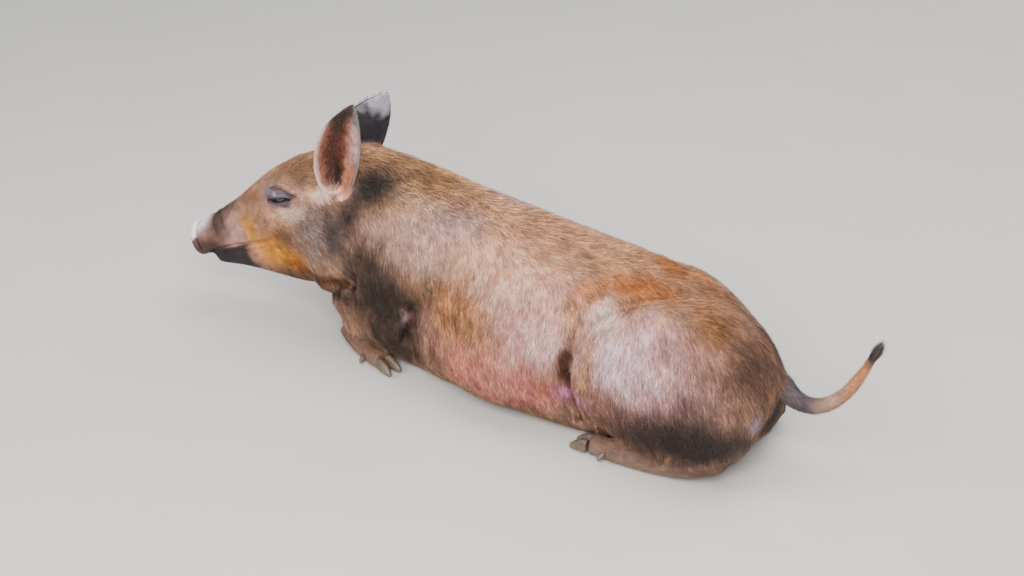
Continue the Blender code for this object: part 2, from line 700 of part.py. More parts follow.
def lock(name, root, along, out, length):
    """A flat tapered lock of hair that bends as it goes."""
    along, out = along.normalized(), out.normalized()
    across = along.cross(out).normalized()
    body = bmesh.new()
    rows = []
    for t, share in ((0, 0.7), (0.35, 1.0), (0.70, 0.75), (0.97, 0.12)):
        middle = root + along * (length * t) - out * (LOCK_SAG * t * t)
        rows.append([body.verts.new(middle + across * (LOCK_WIDTH / 2 * share * a)
                                    + out * (LOCK_THICKNESS / 2 * share * b))
                     for a, b in ((1, 0), (0, 1), (-1, 0), (0, -1))])
    for first, second in zip(rows, rows[1:]):
        for i in range(4):
            body.faces.new((first[i], first[(i + 1) % 4], second[(i + 1) % 4], second[i]))
    body.faces.new(rows[0])
    body.faces.new(rows[-1])
    bmesh.ops.recalc_face_normals(body, faces=body.faces)
    return from_bmesh(name, body)


def make_tail(rump):
    """The tail up to its tuft, cut where it meets the rump."""
    whole = tube("tail_whole", TAIL, steps=18, sides=3)
    tail = carved("tail", whole, [("DIFFERENCE", rump)])
    bpy.data.objects.remove(whole)
    return tail


def make_tuft():
    """The tuft at the tail's end: a core that the locks grow from, fused to one body."""
    end, before = Vector(TAIL[-1][0]), Vector(TAIL[-2][0])
    along = (end - before).normalized()
    radius = TAIL[-1][1]
    start = end + along * GAP
    core = tube("core", [(tuple(start), radius), (tuple(start + along * 0.012), radius * 0.9),
                         (tuple(start + along * 0.026), radius * 0.45)], steps=6, sides=2)
    side = along.orthogonal().normalized()
    group = bpy.data.collections.new("tuft_locks")
    bpy.context.scene.collection.children.link(group)
    draw = random.Random(4)
    for i in range(TUFT_LOCKS):
        out = Matrix.Rotation(GOLDEN_ANGLE * i + draw.uniform(-0.2, 0.2), 3, along) @ side
        root = start + along * (LOCK_STEP * (i % 3)) + out * (radius * 0.35)
        piece = lock("lock", root, along + out * LOCK_SPREAD, out, TUFT_LENGTH * draw.uniform(0.75, 1.05))
        bpy.context.scene.collection.objects.unlink(piece)
        group.objects.link(piece)
    join = core.modifiers.new("join", "BOOLEAN")
    join.operation = "UNION"
    join.operand_type = "COLLECTION"
    join.collection = group
    join.solver = "MANIFOLD"
    made = made_mesh("tail_tuft", core)
    keep_largest(made.data)
    for old in list(group.objects) + [core]:
        bpy.data.objects.remove(old)
    bpy.data.collections.remove(group)
    return made


def part_trunk(coarse):
    """The trunk's pieces and the upper limbs, parted by thin cuts."""
    half = GAP / 2
    taken = [("DIFFERENCE", block("head_room", (HEAD_CUT - half, -0.5, THROAT - half), (1, 0.5, 1),
                                  head_cut_frame()))]
    made = []
    for name, (low, high) in LIMB_BLOCKS.items():
        for side, word in ((LEFT, "left"), (RIGHT, "right")):
            sides = sorted((-side * low[1], -side * high[1]))
            inner = [low[0], sides[0], low[2]], [high[0], sides[1], high[2]]
            kept = [v + half for v in inner[0]], [v - half for v in inner[1]]
            room = [v - half for v in inner[0]], [v + half for v in inner[1]]
            piece = carved(f"{name}_{word}", coarse, [taken[0], ("INTERSECT", block("keep", *kept))])
            made.append(piece)
            taken.append(("DIFFERENCE", block("room", *room)))
    rest = carved("rest", coarse, taken)
    for name, (low, high) in TRUNK_CUTS.items():
        made.append(carved(name, rest, [("INTERSECT", block("slab", (low + half, -1, -1), (high - half, 1, 1)))]))
    bpy.data.objects.remove(rest)
    return made


def material(name, colour, roughness=0.6):
    """A plain finish."""
    made = bpy.data.materials.new(name)
    made.use_nodes = True
    shader = made.node_tree.nodes["Principled BSDF"]
    shader.inputs["Base Color"].default_value = (*colour, 1)
    shader.inputs["Roughness"].default_value = roughness
    shader.inputs["Metallic"].default_value = 0
    return made


def finish_for(name):
    """Which colour a node takes."""
    for word, colour in (("eye", "eye"), ("ear", "ear"), ("nose", "nose"), ("claw", "hoof"), ("hoof", "hoof"),
                         ("tuft", "tuft")):
        if word in name:
            return colour
    return "skin"


def settle(nodes):
    """Puts the pig's middle over the origin and gives each node its finish."""
    corners = np.concatenate([points_of(node.data) for node in nodes])
    low, high = corners.min(0), corners.max(0)
    home = Matrix.Translation((-(low[0] + high[0]) / 2, -(low[1] + high[1]) / 2, -low[2]))
    pig = bpy.data.collections.new("pig")
    bpy.context.scene.collection.children.link(pig)
    for node in nodes:
        node.data.transform(home)
        node.data.materials.clear()
        colour = finish_for(node.name)
        node.data.materials.append(material(node.name, COLOURS[colour], 0.15 if colour == "eye" else 0.7))
        node.data.shade_smooth()
        for old in list(node.users_collection):
            old.objects.unlink(node)
        pig.objects.link(node)


def main():
    """Builds the pig."""
    clear_scene()
    place = head_frame()
    whole = flesh()
    sides = ((LEFT, "left"), (RIGHT, "right"))
    ears = [make_ear(f"ear_{word}", side, place) for side, word in sides]
    cuts = [("DIFFERENCE", below_floor())]
    cuts += [("DIFFERENCE", swollen("around_ear", ear)) for ear in ears]
    cuts += [("DIFFERENCE", moved(ear_room(side), place)) for side, word in sides]
    coarse = carved("coarse", thinned("coarse_raw", whole, BODY_TRIANGLES), cuts)
    fine = carved("fine", thinned("fine_raw", whole, HEAD_TRIANGLES), cuts)
    around_body = swollen("around_body", coarse)
    nodes = part_trunk(coarse) + [make_head(fine), make_nose(place), make_tail(around_body), make_tuft()] + ears
    for side, word in sides:
        nodes.append(make_eye(f"eye_{word}", side, place))
        for kind, beads in (("forefoot", FOREFOOT), ("hindfoot", HINDFOOT)):
            foot = make_foot(f"{kind}_{word}", beads, side, around_body)
            nodes.append(foot)
            nodes += make_claws(f"{kind}_{word}", beads, side, (around_body, swollen("around_foot", foot)))
    kept = set(nodes)
    for old in list(bpy.data.objects):
        if old not in kept:
            bpy.data.objects.remove(old)
    settle(nodes)


main()
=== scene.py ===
"""The looks of a young Tamworth pig that lies on its belly, life size, as a still museum model.

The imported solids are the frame. One skin is grown over all nodes of flesh, smoothed, folded and
painted, and a coat of short bristles lies over it. Eyes with their lids, nose disc, hooves and the
tail's tuft are pieces of their own. All sizes are in metres. The pig's own axes have their origin
on the floor under its middle, -X ahead and -Y to its left. The head's own axes run forwards, to
its left and up from the crown.
"""
import itertools
import logging
import math
from dataclasses import dataclass, field, replace
from enum import Enum, IntEnum
from typing import ClassVar

import bmesh
import bpy
import numpy as np
from mathutils import Matrix, Vector
from mathutils.bvhtree import BVHTree


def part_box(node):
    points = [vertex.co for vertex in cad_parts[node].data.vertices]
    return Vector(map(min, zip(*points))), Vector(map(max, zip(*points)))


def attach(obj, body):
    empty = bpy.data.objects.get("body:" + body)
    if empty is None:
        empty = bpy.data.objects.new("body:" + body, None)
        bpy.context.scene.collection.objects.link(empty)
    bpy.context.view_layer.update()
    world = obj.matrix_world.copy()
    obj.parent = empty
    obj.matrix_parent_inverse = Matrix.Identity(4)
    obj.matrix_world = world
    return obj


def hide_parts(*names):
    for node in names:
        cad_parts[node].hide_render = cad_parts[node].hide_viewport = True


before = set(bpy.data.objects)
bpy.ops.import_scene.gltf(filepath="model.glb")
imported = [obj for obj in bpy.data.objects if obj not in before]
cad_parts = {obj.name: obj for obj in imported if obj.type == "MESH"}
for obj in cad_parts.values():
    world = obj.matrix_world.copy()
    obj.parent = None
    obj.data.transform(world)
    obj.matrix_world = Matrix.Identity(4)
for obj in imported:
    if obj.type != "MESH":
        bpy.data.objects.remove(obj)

LOG = logging.getLogger("pig")
Array = np.ndarray
Piece = bpy.types.Object
Socket = bpy.types.NodeSocket
Triple = tuple[float, float, float]
Bead = tuple[Triple, float]


class Side(Enum):
    """Which side of the pig a piece is on."""

    LEFT = 1
    RIGHT = -1

    @property
    def word(self) -> str:
        """The side's name as the nodes spell it."""
        return self.name.lower()


class Place(Enum):
    """Which axes a mark, a crease or a lie of hair is given in."""

    BODY = "the pig's own axes, alike on both sides"
    HEAD = "the head's own axes, alike on both sides"


class Region(IntEnum):
    """What part of the skin a point belongs to."""

    TRUNK = 0
    HEAD = 1
    EAR_BACK = 2
    EAR_CUP = 3
    TAIL = 4
    FOOT = 5


@dataclass(frozen=True)
class Axes:
    """The pig's and its head's axes, found from the eyes and the nose disc of the frame.

    Args:
        crown: the crown's place in the pig's own axes.
        eye_ahead: how far ahead of the crown the eyes are.
        eye_up: how far above it.
        nose_ahead: how far ahead of the crown the nose disc's middle is.
        nose_up: how far above it.
    """

    crown: Triple = (-.4, -.015, .335)
    eye_ahead: float = .135
    eye_up: float = -.032
    nose_ahead: float = .337
    nose_up: float = -.0865

    def head(self) -> Matrix:
        """The matrix from the head's axes to the frame.

        Returns:
            The matrix.
        """
        left, right, nose = (middle_of(name) for name in ("eye_left", "eye_right", "nose_disc"))
        aside = (left - right).normalized()
        between = (left + right) / 2
        ahead = nose - between
        ahead = (ahead - aside * ahead.dot(aside)).normalized()
        above = ahead.cross(aside)
        tilt = math.atan2(self.nose_up - self.eye_up, self.nose_ahead - self.eye_ahead)
        forward = ahead * math.cos(tilt) - above * math.sin(tilt)
        up = ahead * math.sin(tilt) + above * math.cos(tilt)
        turn = Matrix((forward, aside, up)).transposed().to_4x4()
        crown = between - forward * self.eye_ahead - up * self.eye_up
        return Matrix.Translation(crown) @ turn

    def body(self) -> Matrix:
        """The matrix from the pig's own axes to the frame."""
        return Matrix.Translation(self.head().translation - Vector(self.crown))


def middle_of(node: str) -> Vector:
    """The middle of a node's box."""
    low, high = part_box(node)
    return (Vector(low) + Vector(high)) / 2


AXES = Axes()
HEAD = AXES.head()
BODY = AXES.body()
FLOOR_GAP = .0004


def moved(points: Array, place: Matrix) -> Array:
    """The points taken through a matrix."""
    turn = np.array(place)
    return points @ turn[:3, :3].T + turn[:3, 3]


def in_head(points: Array) -> Array:
    """The points in the head's own axes."""
    return moved(points, HEAD.inverted())


def in_body(points: Array) -> Array:
    """The points in the pig's own axes."""
    return moved(points, BODY.inverted())


def turned(directions: Array, place: Matrix) -> Array:
    """The directions taken through a matrix."""
    return directions @ np.array(place)[:3, :3].T


def unit(directions: Array) -> Array:
    """The directions at length one."""
    return directions / np.maximum(np.linalg.norm(directions, axis=-1, keepdims=True), 1e-12)


def smooth(low: float, high: float, value: Array) -> Array:
    """A soft step from 0 at low to 1 at high, or down from 1 where low is above high."""
    t = np.clip((value - low) / (high - low), 0, 1)
    return t * t * (3 - 2 * t)


def through(keys: Array, values: Array, at: Array) -> Array:
    """A smooth curve through values at rising keys.

    Args:
        keys: where the values are given.
        values: one row for each key.
        at: where the curve is read.

    Returns:
        One row for each place in at.
    """
    keys, values, at = (np.asarray(x, float) for x in (keys, values, at))
    slopes = np.gradient(values, keys, axis=0)
    i = np.clip(np.searchsorted(keys, at) - 1, 0, len(keys) - 2)
    span = (keys[i + 1] - keys[i])[:, None]
    t = (at[:, None] - keys[i][:, None]) / span
    return ((2 * t**3 - 3 * t**2 + 1) * values[i] + (t**3 - 2 * t**2 + t) * span * slopes[i]
            + (3 * t**2 - 2 * t**3) * values[i + 1] + (t**3 - t**2) * span * slopes[i + 1])


def strung(beads: Array, steps: int) -> Array:
    """Rows in even steps along beads, by the distance between the beads' places."""
    run = np.concatenate([[0], np.cumsum(np.linalg.norm(np.diff(beads[:, :3], axis=0), axis=1))])
    return through(run, beads, np.linspace(0, run[-1], steps))


def full_turn(count: int) -> Array:
    """Angles in even steps round a full turn."""
    return np.arange(count) * 2 * math.pi / count


class Clouds:
    """Smooth noise from a seeded lattice."""

    CELLS = 32

    def __init__(self, seed: int) -> None:
        """Draws the lattice."""
        self.table = np.random.default_rng(seed).uniform(-1, 1, (self.CELLS,) * 3)

    def at(self, points: Array, size: float, octaves: int = 2) -> Array:
        """The noise at some points.

        Args:
            points: where it is read.
            size: how wide its largest patches are.
            octaves: how many finer layers there are, each half the size of the last.

        Returns:
            A value from -1 to 1 for each point.
        """
        total, weight = np.zeros(len(points)), 0.0
        for octave in range(octaves):
            spot = points / (size / 2**octave) + 7.3 * octave
            cell = np.floor(spot).astype(int)
            part = spot - cell
            part = part * part * (3 - 2 * part)
            value = np.zeros(len(points))
            for corner in itertools.product((0, 1), repeat=3):
                share = np.prod(np.where(np.array(corner) > 0, part, 1 - part), axis=1)
                x, y, z = ((cell + corner) % self.CELLS).T
                value += share * self.table[x, y, z]
            total += value / 2**octave
            weight += 1 / 2**octave
        return total / weight


CLOUDS = Clouds(11)


def linked(name: str, data: bpy.types.ID) -> Piece:
    """A new object of the scene that holds the data."""
    made = bpy.data.objects.new(name, data)
    bpy.context.scene.collection.objects.link(made)
    return made


def new_piece(name: str, points: Array, faces: Array) -> Piece:
    """An object with a mesh of the given points and faces.

    Args:
        name: the object's name.
        points: the places of its points in the frame.
        faces: one row of point numbers for each face, all rows as long.

    Returns:
        The object, shaded smooth.
    """
    mesh = bpy.data.meshes.new(name)
    count, corners = faces.shape
    mesh.vertices.add(len(points))
    mesh.vertices.foreach_set("co", np.ascontiguousarray(points, np.float32).ravel())
    mesh.loops.add(count * corners)
    mesh.loops.foreach_set("vertex_index", np.ascontiguousarray(faces, np.int32).ravel())
    mesh.polygons.add(count)
    mesh.polygons.foreach_set("loop_start", np.arange(0, count * corners, corners, dtype=np.int32))
    mesh.update(calc_edges=True)
    mesh.shade_smooth()
    return linked(name, mesh)


def points_of(piece: Piece) -> Array:
    """The places of a mesh's points."""
    found = np.empty(len(piece.data.vertices) * 3, np.float32)
    piece.data.vertices.foreach_get("co", found)
    return found.reshape(-1, 3).astype(float)


def set_points(piece: Piece, points: Array) -> None:
    """Moves a mesh's points to new places."""
    piece.data.vertices.foreach_set("co", points.astype(np.float32).ravel())
    piece.data.update()


def faces_of(piece: Piece, corners: int) -> Array:
    """The point numbers of each face of a mesh whose faces all have the same number of corners."""
    found = np.empty(len(piece.data.loops), np.int32)
    piece.data.loops.foreach_get("vertex_index", found)
    return found.reshape(-1, corners)


def normals_for(points: Array, faces: Array) -> Array:
    """The direction that a surface faces at each of its points.

    Args:
        points: the surface's points.
        faces: its faces as point numbers.

    Returns:
        One direction for each point.
    """
    corners = faces.shape[1]
    across = np.cross(points[faces[:, corners - 2]] - points[faces[:, 0]],
                      points[faces[:, -1]] - points[faces[:, 1]])
    return unit(np.stack([np.bincount(faces.ravel(), np.repeat(across[:, k], corners), len(points))
                          for k in range(3)], 1))


def grid_faces(rows: int, columns: int, closed: bool) -> Array:
    """The faces of a grid of points.

    Args:
        rows: how many rows it has.
        columns: how many points are in a row.
        closed: whether each row runs round to its own start.

    Returns:
        One row of four point numbers for each face.
    """
    i, j = np.meshgrid(np.arange(rows - 1), np.arange(columns if closed else columns - 1), indexing="ij")
    k = (j + 1) % columns
    return np.stack([i * columns + j, i * columns + k, (i + 1) * columns + k, (i + 1) * columns + j],
                    -1).reshape(-1, 4)


def paint(piece: Piece, name: str, colours: Array) -> None:
    """Stores a colour for each point of a piece."""
    layer = piece.data.color_attributes.new(name, "FLOAT_COLOR", "POINT")
    full = np.concatenate([np.clip(colours, 0, 1), np.ones((len(colours), 1))], 1)
    layer.data.foreach_set("color", full.astype(np.float32).ravel())


def blend(colours: Array, colour: Triple | Array, cover: Array) -> None:
    """Moves colours towards one colour by each point's cover, in place."""
    colours += (np.array(colour) - colours) * cover[:, None]


def evaluated(piece: Piece) -> bpy.types.Mesh:
    """A piece's mesh with its modifiers applied, shaded smooth.

    Args:
        piece: the piece.

    Returns:
        A new mesh.
    """
    bpy.context.view_layer.update()
    mesh = bpy.data.meshes.new_from_object(piece.evaluated_get(bpy.context.evaluated_depsgraph_get()))
    mesh.shade_smooth()
    return mesh


def weld(piece: Piece) -> None:
    """Joins the points of a piece that lie on one another, and turns its faces outwards.

    Args:
        piece: the piece, which is changed.
    """
    body = bmesh.new()
    body.from_mesh(piece.data)
    bmesh.ops.remove_doubles(body, verts=body.verts, dist=1e-7)
    bmesh.ops.recalc_face_normals(body, faces=body.faces)
    body.to_mesh(piece.data)
    body.free()


def thicken(piece: Piece, depth: float) -> None:
    """Gives an open sheet its thickness, inwards.

    Args:
        piece: the sheet, which is changed.
        depth: how thick it gets.
    """
    shell = piece.modifiers.new("shell", "SOLIDIFY")
    shell.thickness = depth
    shell.offset = -1
    mesh = evaluated(piece)
    piece.modifiers.remove(shell)
    piece.data = mesh


def melted(name: str, shells: list[tuple[Array, Array]], grain: float) -> Piece:
    """Closed shells melted into one closed surface of even quads.

    Args:
        name: the object's name.
        shells: points and triangles of each closed shell.
        grain: the width of the quads.

    Returns:
        The melted object.
    """
    counts = np.cumsum([0] + [len(points) for points, faces in shells])
    heap = new_piece(name + "_heap", np.concatenate([points for points, faces in shells]),
                     np.concatenate([faces + start for (points, faces), start in zip(shells, counts)]))
    melt = heap.modifiers.new("melt", "REMESH")
    melt.mode = "VOXEL"
    melt.voxel_size = grain
    melt.adaptivity = 0
    mesh = evaluated(heap)
    mesh.name = name
    bpy.data.objects.remove(heap)
    return linked(name, mesh)


def node_shell(node: str, swell: float) -> tuple[Array, Array]:
    """A CAD node's surface as points and triangles, swollen a little.

    Args:
        node: the node's name.
        swell: how far its surface is moved outwards.

    Returns:
        Its points and its triangles.
    """
    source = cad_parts[node]
    mesh = source.data
    mesh.calc_loop_triangles()
    corners = np.empty(len(mesh.loop_triangles) * 3, np.int32)
    mesh.loop_triangles.foreach_get("vertices", corners)
    points = moved(points_of(source), source.matrix_world)
    welded, which = np.unique(np.round(points, 6), axis=0, return_inverse=True)
    faces = which.reshape(-1)[corners].reshape(-1, 3)
    return welded + normals_for(welded, faces) * swell, faces


def ball_shell(centre: Array, radius: float) -> tuple[Array, Array]:
    """A ball's surface as points and triangles.

    Args:
        centre: its middle.
        radius: its radius.

    Returns:
        Its points and its triangles.
    """
    body = bmesh.new()
    bmesh.ops.create_icosphere(body, subdivisions=3, radius=radius)
    points = np.array([v.co for v in body.verts]) + centre
    faces = np.array([[v.index for v in f.verts] for f in body.faces])
    body.free()
    return points, faces


def tube_shell(beads: list[Bead], steps: int, sides: int = 12) -> tuple[Array, Array]:
    """A tube's surface along beads, closed at both ends, as points and triangles.

    Args:
        beads: places and radii along it.
        steps: how many rings it has.
        sides: how many points a ring has.

    Returns:
        Its points and its triangles.
    """
    rows = strung(np.array([(*p, r) for p, r in beads]), steps)
    path = rows[:, :3]
    along = unit(np.gradient(path, axis=0))
    aside = unit(np.cross(along, (.3, .9, .3)))
    above = np.cross(along, aside)
    turn = full_turn(sides)[None, :, None]
    ring = np.cos(turn) * aside[:, None] + np.sin(turn) * above[:, None]
    points = (path[:, None] + ring * rows[:, 3][:, None, None]).reshape(-1, 3)
    quads = grid_faces(steps, sides, True)
    first, last = len(points), len(points) + 1
    points = np.concatenate([points, path[:1], path[-1:]])
    around = np.arange(sides)
    start = np.stack([np.full(sides, first), (around + 1) % sides, around], 1)
    base = (steps - 1) * sides
    end = np.stack([np.full(sides, last), base + around, base + (around + 1) % sides], 1)
    faces = np.concatenate([quads[:, [0, 1, 2]], quads[:, [0, 2, 3]], start, end])
    return points, faces


@dataclass(frozen=True)
class Ear:
    """One ear: a leaf-shaped bowl, deepest near its rounded foot and pointed at its tip."""

    side: Side
    root: Triple = (.037, .078, -.046)
    tips: dict[Side, Triple] = field(default_factory=lambda: {Side.LEFT: (-.054, .064, .098),
                                                              Side.RIGHT: (-.066, -.07, .067)})
    facings: dict[Side, Triple] = field(default_factory=lambda: {Side.LEFT: (.16, .97, .1),
                                                                 Side.RIGHT: (.42, -.88, .1)})
    width: float = .082
    thickness: float = .0046
    bend: float = .05
    bows: dict[Side, float] = field(default_factory=lambda: {Side.LEFT: .007, Side.RIGHT: .014})
    leaf: tuple[Triple, ...] = ((0.0, .16, .006), (.06, .52, .022), (.16, .8, .031),
                                (.32, .98, .029), (.5, 1.0, .021), (.68, .84, .013),
                                (.84, .52, .006), (.94, .24, .003), (1.0, .05, .001))
    rows: int = 46
    columns: int = 33

    def directions(self) -> tuple[Array, Array, Array, Array, float]:
        """The foot, the ways along, across and ahead, and the length, in the head's axes.

        Returns:
            The four vectors and the length.
        """
        root = np.array(self.root) * (1, self.side.value, 1)
        axis = np.array(self.tips[self.side]) - root
        length = float(np.linalg.norm(axis))
        axis /= length
        face = np.array(self.facings[self.side])
        face = face - axis * face.dot(axis)
        face /= np.linalg.norm(face)
        return root, axis, np.cross(axis, face) * self.side.value, face, length

    def sheet(self) -> Array:
        """The middle of the ear's sheet in the frame, row by row from the foot.

        Returns:
            A grid of places.
        """
        root, axis, across, face, length = self.directions()
        reach = (1 - np.cos(np.linspace(0, math.pi, self.rows))) / 2
        shares = through([row[0] for row in self.leaf], [row[1:] for row in self.leaf], reach)
        t = np.linspace(-1, 1, self.columns)[None, :, None]
        s, width, depth = (line[:, None, None] for line in (reach, shares[:, 0], shares[:, 1]))
        points = (root + axis * (s * length) - face * (self.bend * s * s * length)
                  - across * (self.bows[self.side] * np.sin(math.pi * s))
                  + across * (self.width / 2 * width * t) - face * (depth * (1 - np.abs(t) ** 2.2)))
        return moved(points.reshape(-1, 3), HEAD).reshape(self.rows, self.columns, 3)

    def shell(self) -> tuple[Array, Array]:
        """The ear as a closed shell of points and triangles.

        Returns:
            Its points and its triangles.
        """
        sheet = self.sheet()
        along, across = np.gradient(sheet, axis=0), np.gradient(sheet, axis=1)
        out = unit(np.cross(along, across))
        reach = np.linspace(0, 1, self.rows)[:, None, None]
        half = self.thickness / 2 * (1 + .5 * smooth(.5, 0.0, reach))
        count = self.rows * self.columns
        points = np.concatenate([(sheet + out * half).reshape(-1, 3), (sheet - out * half).reshape(-1, 3)])
        quads = grid_faces(self.rows, self.columns, False)
        number = np.arange(count).reshape(self.rows, self.columns)
        rim = np.concatenate([number[0], number[1:, -1], number[-1, -2::-1], number[-2:0:-1, 0]])
        after = np.roll(rim, -1)
        wall = np.stack([rim, rim + count, after + count, after], 1)
        faces = np.concatenate([quads, quads[:, ::-1] + count, wall])
        return points, np.concatenate([faces[:, [0, 1, 2]], faces[:, [0, 2, 3]]])


@dataclass(frozen=True)
class Fold:
    """A furrow along a path near the skin.

    Args:
        path: points near the skin.
        width: half the furrow's width.
        depth: how deep it is; below 0 it stands up as a ridge.
        place: which axes the path is in.
    """

    path: tuple[Triple, ...]
    width: float
    depth: float
    place: Place = Place.BODY


@dataclass(frozen=True)
class Mark:
    """A patch of colour on skin and coat.

    Args:
        centre: its middle.
        radii: how far it reaches each way.
        hide: the bare skin's colour there.
        hair: the coat's colour there.
        strength: how much it covers, up to 1.
        bald: how much of the coat is missing there, up to 1.
        place: which axes it is in.
    """

    centre: Triple
    radii: Triple
    hide: Triple
    hair: Triple
    strength: float = .9
    bald: float = 0.0
    place: Place = Place.BODY


@dataclass(frozen=True)
class Lie:
    """Which way the hair lies near a place."""

    centre: Triple
    way: Triple
    reach: float = .1
    place: Place = Place.BODY


def placed(kind: type, body: tuple, head: tuple) -> tuple:
    """Folds, marks or lies of hair, made from rows of their values.

    Args:
        kind: their class.
        body: the rows in the pig's own axes.
        head: the rows in the head's own axes.

    Returns:
        One object for each row, the body's first.
    """
    return tuple(kind(*row) for row in body) + tuple(kind(*row, place=Place.HEAD) for row in head)


@dataclass(frozen=True)
class Ground:
    """What skin and coat are like in a region.

    Args:
        rounds: how often the skin is smoothed.
        depth: how far the skin is drawn in to leave room for the coat.
        length: how long the hair is.
        dense: how dense it stands.
    """

    rounds: int
    depth: float
    length: float
    dense: float


GROUNDS = {Region.TRUNK: Ground(60, .0022, .0155, 1.0), Region.HEAD: Ground(14, .0012, .011, 1.7),
           Region.EAR_BACK: Ground(5, .0002, .006, 1.0), Region.EAR_CUP: Ground(5, .0002, .007, .45),
           Region.TAIL: Ground(12, .001, .009, 1.4), Region.FOOT: Ground(10, .0008, .008, .8)}


def ground(name: str, region: Array) -> Array:
    """One value of its region's ground for each point."""
    return np.array([getattr(GROUNDS[r], name) for r in Region], float)[region]


FLESH = ["head", "neck", "chest", "barrel", "rump", "tail"] + [
    f"{part}_{side.word}" for side in Side
    for part in ("shoulder", "foreleg", "thigh", "forefoot", "hindfoot")]

FOLDS = placed(Fold, (
    (((.12, -.15, .02), (.112, -.145, .06), (.107, -.135, .11), (.106, -.134, .16)), .0085, .012),
    (((.106, -.134, .15), (.11, -.128, .185), (.113, -.112, .222), (.122, -.09, .248),
     (.145, -.062, .266), (.18, -.042, .272)), .011, .0045),
    (((-.204, -.13, .02), (-.204, -.135, .06), (-.201, -.137, .1), (-.197, -.137, .148)), .011, .017),
    (((-.18, -.136, .05), (-.178, -.137, .1), (-.176, -.138, .145)), .012, -.002),
    (((-.192, -.138, .1), (-.176, -.14, .15), (-.15, -.132, .205)), .012, .0025),
    (((-.33, -.13, .12), (-.335, -.13, .17), (-.345, -.118, .23)), .01, .0022),
    (((-.3, -.136, .11), (-.26, -.15, .118), (-.215, -.15, .126)), .008, .003),
), (
    (((.326, 0.0, -.1065), (.314, .022, -.1065), (.285, .034, -.1065), (.25, .036, -.1075),
     (.212, .045, -.1085), (.182, .054, -.105)), .003, .003),
    (((.3, .032, -.1005), (.26, .038, -.101), (.215, .046, -.1015)), .004, -.0016),
    (((.3, .03, -.1135), (.26, .035, -.114), (.215, .044, -.1155)), .0045, -.0018),
    (((.13, .066, -.172), (.08, .09, -.182), (.03, .094, -.18), (-.01, .09, -.172)), .008, .002),
    (((.15, .03, -.222), (.11, .06, -.214), (.07, .085, -.206), (.02, .098, -.196)), .01, .013),
    (((.316, 0.0, -.053), (.314, .024, -.058), (.311, .036, -.083), (.313, .031, -.102)), .004, .0022),
    (((.298, 0.0, -.047), (.296, .024, -.055), (.292, .036, -.075)), .0035, .0022),
    (((.28, 0.0, -.042), (.278, .024, -.05), (.274, .037, -.068)), .0035, .0018),
    (((.17, .055, -.068), (.145, .062, -.074), (.115, .066, -.066)), .004, .0014),
    (((.178, .042, -.012), (.15, .052, -.004), (.118, .054, -.008)), .004, .0014),
))


